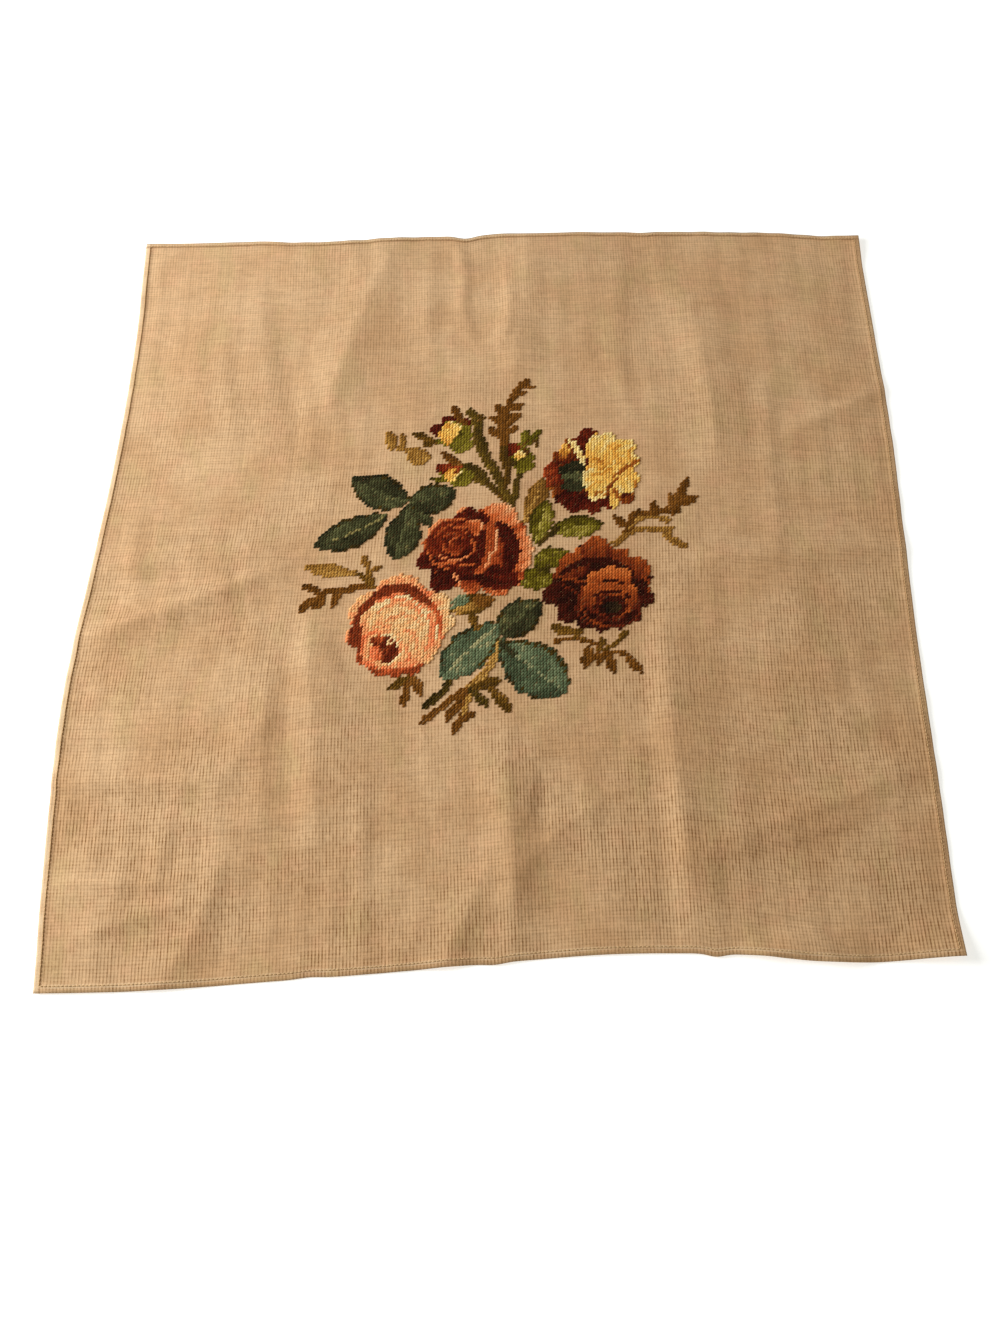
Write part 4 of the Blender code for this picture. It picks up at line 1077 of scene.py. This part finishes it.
# By flower: the family of wool of the parts that name no other, and its parts. Places and sizes are in
# hundredths of the flower's half size, and tones run from 0, darkest, to 100, palest. A petal has one tone
# at its base and another at its lip.
FLOWERS = {
    "rose_rust": ("rust", (
        Petal(0, 0, 200, 200, 0, 46, 46),
        Petal(42, 72, 46, 40, 55, 50, 100),
        Petal(80, -4, 36, 50, 0, 46, 100),
        Petal(46, -84, 36, 54, -66, 46, 92),
        Petal(-5, -92, 26, 52, -92, 46, 90),
        Petal(-40, 8, 66, 64, 140, 8, 30),
        Petal(-22, 74, 34, 17, 172, 10, 20),
        Petal(6, 66, 14, 22, 60, 4, 14),
        Petal(-10, 44, 24, 17, 30, 40, 72),
        Petal(-30, 12, 36, 30, 100, 4, 22),
        Petal(-34, 4, 17, 15, 200, 24, 40),
        Petal(-93, -32, 25, 22, 200, 4, 20),
        Petal(-28, -42, 36, 22, 160, 6, 24),
        Petal(-60, -72, 30, 26, 250, 2, 16),
        Petal(36, -60, 42, 24, -12, 2, 16),
        Line((36, 54), (64, 5), (52, -45), 28, 6),
        Line((26, 56), (24, -5), (4, -48), 26, 52),
        Line((12, 40), (10, -5), (-4, -42), 10, 10),
        Line((36, 40), (37, 12), (30, -10), 7, 94),
        Line((24, -8), (22, -24), (12, -40), 7, 86),
        Line((-20, 92), (-82, 50), (-104, -2), 15, 80),
        Line((-76, 24), (-50, 50), (-16, 34), 6, 56),
        Line((-62, 22), (-42, 34), (-18, 20), 6, 44),
        Line((-66, -10), (-40, -22), (-10, -12), 6, 74),
        Line((-54, 60), (-34, 66), (-12, 56), 6, 60),
        Line((-12, 24), (-4, 6), (-10, -10), 6, 58),
        Line((-88, 30), (-92, 12), (-84, -6), 6, 50),
        Line((-72, -32), (-50, -26), (-34, -30), 6, 66),
        Line((-52, 4), (-44, 20), (-26, 20), 5, 62),
        Line((-58, 12), (-52, -5), (-30, -12), 6, 54),
        Line((-84, 2), (-78, -25), (-46, -42), 6, 60),
        Line((-36, -30), (-16, -34), (-2, -28), 6, 62),
        Line((-42, -50), (-32, -66), (-26, -84), 6, 82),
    )),
    "rose_peach": ("peach", (
        Petal(0, 0, 200, 200, 0, 58, 58),
        Petal(2, 80, 30, 56, 90, 50, 78),
        Petal(-70, 42, 40, 40, 140, 56, 92),
        Petal(-90, -20, 26, 30, 180, 44, 74),
        Petal(76, 20, 40, 58, 8, 62, 100),
        Petal(55, -60, 46, 50, -48, 58, 100),
        Petal(-20, -86, 24, 60, -95, 22, 42),
        Line((44, 50), (68, 24), (72, -10), 10, 32),
        Line((-54, 50), (-2, 74), (52, 44), 20, 10),
        Line((-50, 52), (-74, 2), (-74, -52), 22, 9),
        Line((-76, -46), (-30, -94), (44, -74), 17, 20),
        Petal(-2, -10, 66, 70, 60, 77, 90),
        Line((-42, 24), (-6, 44), (36, 28), 6, 70),
        Line((-28, 6), (10, 22), (42, 0), 6, 72),
        Line((4, -6), (28, -16), (34, -48), 6, 66),
        Line((52, 22), (60, -12), (46, -50), 9, 58),
        Line((-58, 10), (-60, -14), (-62, -34), 6, 66),
        Line((-14, 52), (16, 46), (42, 18), 6, 62),
        Line((-50, -2), (-30, 3), (-6, -8), 6, 66),
        Line((10, -40), (20, -55), (12, -70), 6, 60),
        Petal(-28, -42, 40, 40, 20, 56, 70),
        Petal(-30, -44, 33, 33, 20, 78, 92),
        Petal(-25, -43, 22, 26, 40, 0, 8),
        Petal(-40, -52, 13, 15, 200, 40, 54),
        Petal(-38, -26, 12, 8, 30, 16, 30),
        Line((-22, -26), (-17, -30), (-13, -36), 6, 90),
    )),
    "rose_maroon": ("maroon", (
        Petal(0, 0, 200, 200, 0, 6, 6),
        Petal(-56, 44, 36, 46, 118, 40, 84),
        Petal(0, 80, 32, 28, 90, 44, 78),
        Petal(64, 50, 36, 48, 50, 38, 84),
        Petal(-72, -6, 30, 26, 190, 2, 20),
        Petal(-56, -50, 32, 30, 225, 0, 18),
        Petal(-6, -76, 26, 34, 265, 0, 14),
        Petal(52, -66, 26, 32, 300, 2, 16),
        Petal(86, -14, 22, 34, 345, 4, 20),
        Line((74, 20), (92, 4), (88, -16), 9, 56),
        Line((-34, -30), (-38, -55), (-20, -74), 7, 34),
        Line((-66, 26), (2, 54), (64, 22), 14, 8),
        Line((-76, 18), (-44, 14), (-18, 6), 7, 54),
        Line((-62, 2), (-46, -8), (-34, -24), 6, 38),
        Petal(20, -18, 54, 50, 90, 44, 86),
        Petal(28, 18, 22, 34, 90, 66, 100),
        Line((0, 2), (24, 10), (50, 2), 7, 6),
        Line((-16, -10), (24, 2), (62, -16), 10, 74),
        Line((-10, -20), (25, -12), (58, -26), 7, 12),
        Line((-26, 2), (-26, -55), (16, -82), 7, 56),
        Line((16, -82), (60, -72), (72, -30), 6, 34),
        Petal(24, -42, 33, 28, 20, 36, 54),
        Petal(26, -42, 25, 21, 20, 4, 16),
        Petal(25, -43, 16, 13, 10, 10, 60, "shade"),
    )),
    "rose_gold": ("gold", (
        Petal(0, 0, 200, 200, 0, 8, 8),
        Petal(-58, 50, 32, 32, 100, 12, 34),
        Petal(-56, 48, 20, 13, 90, 36, 66),
        Petal(-8, 74, 36, 24, 110, 10, 22, "rust"),
        Petal(-88, -10, 24, 32, 180, 32, 50, "rust"),
        Petal(-72, -52, 22, 22, 210, 6, 32),
        Petal(-42, -74, 30, 34, -100, 6, 16, "rust"),
        Petal(18, -84, 28, 36, -90, 12, 28, "rust"),
        Petal(-34, 6, 34, 16, 8, 0, 14, "dark_teal"),
        Petal(-36, -14, 28, 12, 0, 62, 74, "dark_teal"),
        Petal(-36, -34, 28, 13, 0, 20, 34, "dark_teal"),
        Petal(52, 14, 60, 82, 20, 76, 94),
        Petal(26, 52, 42, 34, 80, 72, 94),
        Petal(76, 44, 32, 34, 30, 76, 92),
        Petal(16, -20, 36, 30, 190, 72, 92),
        Petal(16, -46, 22, 26, -60, 76, 94),
        Petal(78, -28, 40, 24, -84, 74, 90),
        Petal(50, -74, 24, 13, -80, 70, 86),
        Petal(78, -70, 18, 15, -50, 14, 26),
        Line((104, 24), (78, 8), (50, -12), 9, 32),
        Line((34, -54), (40, -34), (56, -20), 7, 22),
        Line((46, -44), (56, -60), (62, -84), 7, 30),
        Line((90, -20), (92, -44), (84, -60), 7, 38),
        Line((-2, 30), (14, 28), (30, 12), 6, 46),
        Line((50, 46), (60, 30), (70, 14), 6, 60),
        Line((-2, -4), (16, -10), (32, -4), 6, 58),
        Line((34, 66), (50, 54), (66, 62), 6, 60),
        Line((16, 8), (30, 0), (46, 8), 6, 54),
        Line((90, 54), (80, 36), (92, 20), 6, 60),
        Line((4, -60), (18, -50), (32, -62), 7, 40),
        Line((-10, 40), (-10, 28), (-4, 14), 7, 12, "rust"),
        Line((-42, 74), (-28, 50), (-12, 18), 15, 98),
    )),
    "bud_high": ("green", (
        Petal(0, 0, 200, 200, 0, 60, 60),
        Petal(-82, 34, 36, 46, 150, 6, 20, "rust"),
        Petal(-10, 14, 64, 56, 60, 66, 88, "gold"),
        Petal(-22, 52, 22, 16, 80, 50, 60, "gold"),
        Petal(56, -56, 62, 66, -50, 56, 86),
        Petal(42, 10, 13, 13, 0, 10, 30),
        Line((-50, 80), (5, 98), (84, 66), 44, 14, "rust"),
    )),
    "bud_left": ("green", (
        Petal(0, 0, 200, 200, 0, 62, 62),
        Petal(-42, 56, 72, 50, 0, 22, 44, "rust"),
        Petal(-10, -10, 52, 50, -30, 62, 90, "gold"),
        Petal(12, 24, 12, 20, 90, 30, 40, "gold"),
        Petal(66, -46, 58, 70, -40, 52, 82),
    )),
    "bud_right": ("green", (
        Petal(0, 0, 200, 200, 0, 50, 50),
        Petal(-50, 66, 60, 50, 40, 14, 36, "rust"),
        Petal(60, 66, 40, 34, 60, 10, 30, "brown"),
        Petal(4, 10, 40, 42, 80, 60, 90, "gold"),
        Petal(30, -60, 66, 46, -80, 40, 70),
        Petal(-66, -30, 36, 34, 90, 10, 30, "dark_green"),
    )),
}

FRILLS = ((5.0, 0.05, 1.7), (9.0, 0.03, 1.0))  # waves round a petal, their depth, and each petal's shift
STREAK = 5.0  # how far the shading streaks along a petal
STREAK_TURN = 0.275
STREAK_BEND = (2.0, 2.4)  # how far the streaks bend, and how often
STREAK_SHIFT = 1.3  # from petal to petal
FOOT_SHADE = 16.0  # under the petal that lies on top
FOOT_START = 0.72
FOOT_REACH = 0.3
RIM_LIGHT = 12.0  # along a pale petal's lip
RIM_START = 0.84
RIM_REACH = 0.15
RIM_LIP = 50.0
FLOWER_SEED = 100
MISCOUNT = 2.8  # how far a stitch strays from its tone
LINE_STEPS = 10
SEPAL_START = 75.0  # shoots are seen from this far out
SEPAL_EDGE = 1.2


def petal_stitches(petal, number, x, y):
    """Which stitches a petal covers, and the tone of each; its number gives it a frill of its own."""
    turn = math.radians(petal.turn)
    reach = ((x - petal.x) * math.cos(turn) + (y - petal.y) * math.sin(turn)) / petal.long
    beside = ((y - petal.y) * math.cos(turn) - (x - petal.x) * math.sin(turn)) / petal.wide
    way_round = np.arctan2(beside, reach)
    frill = sum(depth * np.sin(waves * way_round + shift * number) for waves, depth, shift in FRILLS)
    away = np.hypot(reach, beside) / (1.0 + frill)
    tone = petal.base + (petal.lip - petal.base) * smooth(0.5 + 0.5 * reach)
    bands = STREAK_TURN * petal.wide * beside + STREAK_SHIFT * number
    bands = bands + STREAK_BEND[0] * np.sin(STREAK_BEND[1] * reach + number)
    tone = tone + STREAK * np.sin(bands)
    foot = smooth((away - FOOT_START) / (1.0 - FOOT_START)) * smooth(FOOT_REACH - reach)
    tone = tone - FOOT_SHADE * foot
    if petal.lip > RIM_LIP:
        tone = np.where((away > RIM_START) & (reach > RIM_REACH), tone + RIM_LIGHT, tone)
    return away < 1.0, tone


def line_stitches(line, x, y):
    """Which stitches a drawn line covers; it thins to half its width at both ends."""
    away, _, share = beside_line(bent_line((line.start, line.via, line.end), LINE_STEPS), x, y)
    return away < 0.5 * line.width * (1.0 - 0.5 * (2.0 * share - 1.0) ** 4), np.full(len(x), line.tone)


def make_flowers():
    for number, (name, (family, parts)) in enumerate(FLOWERS.items()):
        rng = np.random.default_rng(FLOWER_SEED + number)
        oval = FLOWER_OVALS[name]
        x, y = crossing_places(name)
        share_x = 100.0 * (x - oval.x) / oval.half_x
        share_y = 100.0 * (y - oval.y) / oval.half_y
        colours = np.zeros((len(x), 3))
        stray = rng.normal(0.0, MISCOUNT, len(x))
        for place, part in enumerate(parts):
            if isinstance(part, Petal):
                inside, tone = petal_stitches(part, place, share_x, share_y)
            else:
                inside, tone = line_stitches(part, share_x, share_y)
            colours[inside] = dyed(part.family or family, (tone + stray)[inside])
        sepals, off = colour_shoots(name, x, y, rng)
        shown = (off < SEPAL_EDGE) & (np.hypot(share_x, share_y) > SEPAL_START)
        colours[shown] = sepals[shown]
        work_motif(name, colours, rng)


make_flowers()


# Leaves
# Rose leaves in two teals, light green ones about the middle rose, and a tall tan one. Each has a pale
# midrib and side veins, one half lighter than the other, and a darker edge.
Leaf = namedtuple("Leaf", "name base tip width widest bend family slot light vein paler", defaults=(0,))

# Base, tip, width and bend are in millimetres on the cloth's plan, and the widest place is a share of the
# leaf's length. Light is how unlike the halves are, and the last numbers are tones.
LEAVES = (
    Leaf("leaf_teal_1", (-72, 47), (-121, 71), 33, 0.48, 2, "dark_teal", "wool_dark_teal", 1, 75),
    Leaf("leaf_teal_2", (-73, 46), (-33, 58), 29.5, 0.5, -2, "dark_teal", "wool_dark_teal", 1, 70),
    Leaf("leaf_teal_3", (-90, 36), (-150, 6), 28.5, 0.52, 3, "dark_teal", "wool_dark_teal", -1, 95),
    Leaf("leaf_teal_4", (-72, 44), (-84, -7), 30.5, 0.55, 2, "dark_teal", "wool_dark_teal", 1, 80),
    Leaf("leaf_teal_5", (4, -66), (-42, -113), 35, 0.52, -1, "teal", "wool_teal", 1, 100, 12),
    Leaf("leaf_teal_6", (3, -77), (37, -47), 31, 0.52, 1, "dark_teal", "wool_teal", 1, 72),
    Leaf("leaf_teal_7", (5, -84), (57, -126), 46, 0.52, 0, "teal", "wool_teal", 1, 85, 4),
    Leaf("leaf_green_1", (34, 6), (44, 47), 19, 0.52, 1, "green", "wool_green", -1.8, 100, 12),
    Leaf("leaf_green_2", (46, 18), (89, 23), 21, 0.5, 1, "green", "wool_green", -1.8, 90, 12),
    Leaf("leaf_green_3", (32, -11), (60, -2), 20, 0.45, -1, "green", "wool_green", 1, 50),
    Leaf("leaf_green_4", (51, -25), (18, -25), 21, 0.55, 1, "green", "wool_green", 1, 60),
    Leaf("leaf_green_5", (0, -44), (-41, -51), 20, 0.5, 1, "olive", "wool_olive", 1, 100),
    Leaf("leaf_tan", (21, 19), (41, 69), 18, 0.64, -1, "tan", "wool_tan", 1, 90, -22),
)

LEAF_SEED = 200
LEAF_STEPS = 24
LEAF_ROUNDNESS = 0.72
LEAF_LEAST = 0.15  # of its full width, at the base and the tip
LEAF_OUTSIDE = 1.2  # stitches past the edge count as no further out than this
LEAF_TONE = 44.0
LEAF_LIGHT = 12.0  # how far the lighter half is paler, and the other one darker
LEAF_STRAY = 4.5
LEAF_WAVES = ((10.0, 11.0, 0.0, 5.0), (8.0, 16.0, 7.0, 0.0))  # strength; turns by length, breadth and half
LEAF_EDGE = (0.70, 40.0)  # where the edge begins to darken, and how far it does
LEAF_TIP = (0.72, 14.0)
VEINS = 5.0
VEIN_SLANT = 0.55
VEIN_WIDTH = 0.22
VEIN_REACH = 0.72
VEIN_LIGHT = 18.0
VEIN_WORKED = 0.60  # share of a side vein's stitches that are in the paler wool
MIDRIB = 1.2
MIDRIB_ENDS = (0.06, 0.80)
MIDRIB_WORKED = 0.75
BROWNED_FROM = 0.80
BROWNED = 0.45  # share of a teal leaf's edge stitches in a brown wool
BROWNED_TONE = 0.6


def colour_leaf(leaf, x, y, rng):
    """The colour of each stitch of a leaf, by how far it lies along the midrib and out from it."""
    start, end = np.array((leaf.base, leaf.tip), dtype=float)
    way = (end - start) / np.linalg.norm(end - start)
    via = 0.5 * (start + end) + leaf.bend * np.array([-way[1], way[0]])
    away, side, share = beside_line(bent_line((start, via, end), LEAF_STEPS), x, y)
    hand = np.sign(side)
    swell = np.sin(math.pi * share ** (math.log(0.5) / math.log(leaf.widest))) ** LEAF_ROUNDNESS
    breadth = np.clip(away / (0.5 * leaf.width * np.maximum(swell, LEAF_LEAST)), 0.0, LEAF_OUTSIDE)
    tone = LEAF_TONE + leaf.paler + LEAF_LIGHT * hand * leaf.light + rng.normal(0.0, LEAF_STRAY, len(x))
    for strength, along_it, outwards, by_half in LEAF_WAVES:
        tone = tone + strength * np.sin(along_it * share + outwards * breadth + by_half * hand)
    for place, (first, darker) in ((breadth, LEAF_EDGE), (share, LEAF_TIP)):
        tone = tone - darker * smooth((place - first) / (1.0 - first))
    vein = (share - VEIN_SLANT * breadth) * VEINS % 1.0
    veined = (vein < VEIN_WIDTH) & (breadth < VEIN_REACH) & (rng.random(len(x)) < VEIN_WORKED)
    tone = np.where(veined, tone + VEIN_LIGHT, tone)
    midrib = (away < MIDRIB) & (share > MIDRIB_ENDS[0]) & (share < MIDRIB_ENDS[1])
    tone = np.where(midrib & (rng.random(len(x)) < MIDRIB_WORKED), leaf.vein, tone)
    browned = (breadth > BROWNED_FROM) & (rng.random(len(x)) < BROWNED) & leaf.family.endswith("teal")
    return np.where(browned[:, None], dyed("dark_green", BROWNED_TONE * tone), dyed(leaf.family, tone))


def make_leaves():
    for number, leaf in enumerate(LEAVES):
        rng = np.random.default_rng(LEAF_SEED + number)
        x, y = crossing_places(leaf.name)
        colours = colour_leaf(leaf, x, y, rng)
        shoots, off = colour_shoots(leaf.name, x, y, rng)
        colours[off < 1.0] = shoots[off < 1.0]
        work_motif(leaf.name, colours, rng)


make_leaves()


# Sprigs and stems
# Small-leaved twigs in browns, tans and olives at the outside of the spray, and the stems that gather it.
# All of them are shoots alone.
TWIG_SEED = 300
TWIG_SLOTS = {
    "sprig_far": "wool_brown",
    "sprig_far_left": "wool_tan",
    "sprig_left": "wool_olive",
    "sprig_right": "wool_brown",
    "sprig_near_right": "wool_brown",
    "sprig_near": "wool_olive",
    "stem_buds": "wool_dark_green",
    "stalks_near": "wool_olive",
    "stalk_teal": "wool_dark_teal",
}


def make_twigs():
    for number, (name, slot) in enumerate(TWIG_SLOTS.items()):
        rng = np.random.default_rng(TWIG_SEED + number)
        x, y = crossing_places(name)
        work_motif(name, colour_shoots(name, x, y, rng)[0], rng)


make_twigs()


# The table and the light
# A plain white table. One soft window light comes from the far left, low enough to show the folds, and
# the room fills in the rest.
TABLE_HALF = 12.0
TABLE_DROP = 0.0002
TABLE_WHITE = (0.93, 0.93, 0.93)
TABLE_GLOW = 0.56  # as overexposed as in the photo
LIGHT_PLACE = (-1.50, 0.23, 0.85)
LIGHT_SIZE = 0.9
LIGHT_POWER = 35.2
WINDOW_COLOUR = (0.95, 0.97, 1.0)
ROOM_COLOUR = (1.0, 0.87, 0.69)
GLOW_COLOUR = (0.90, 0.97, 1.0)
ROOM_LIGHT = 0.362

corners = np.array([(-1.0, -1.0, -1.0), (1.0, -1.0, -1.0), (1.0, 1.0, -1.0), (-1.0, 1.0, -1.0)])
table = new_piece("table", corners * (TABLE_HALF, TABLE_HALF, TABLE_DROP), [(0, 1, 2, 3)])
_, table_shader, table_paint = new_material("white table")
set_inputs(table_shader, {
    "Base Color": (*TABLE_WHITE, 1.0),
    "Roughness": 0.8,
    "Specular IOR Level": 0.1,
    "Emission Color": (*GLOW_COLOUR, 1.0),
    "Emission Strength": TABLE_GLOW,
})
table.data.materials.append(table_paint)

window = bpy.data.objects.new("window", bpy.data.lights.new("window", "AREA"))
bpy.context.scene.collection.objects.link(window)
window.data.shape = "SQUARE"
window.data.size = LIGHT_SIZE
window.data.energy = LIGHT_POWER
window.data.color = WINDOW_COLOUR
window.location = LIGHT_PLACE
window.rotation_euler = (-Vector(LIGHT_PLACE)).to_track_quat("-Z", "Y").to_euler()

room = bpy.data.worlds.new("room")
bpy.context.scene.world = room
room.use_nodes = True
backdrop = room.node_tree.nodes["Background"]
backdrop.inputs["Color"].default_value = (*ROOM_COLOUR, 1.0)
backdrop.inputs["Strength"].default_value = ROOM_LIGHT
bpy.context.scene.view_settings.view_transform = "Standard"
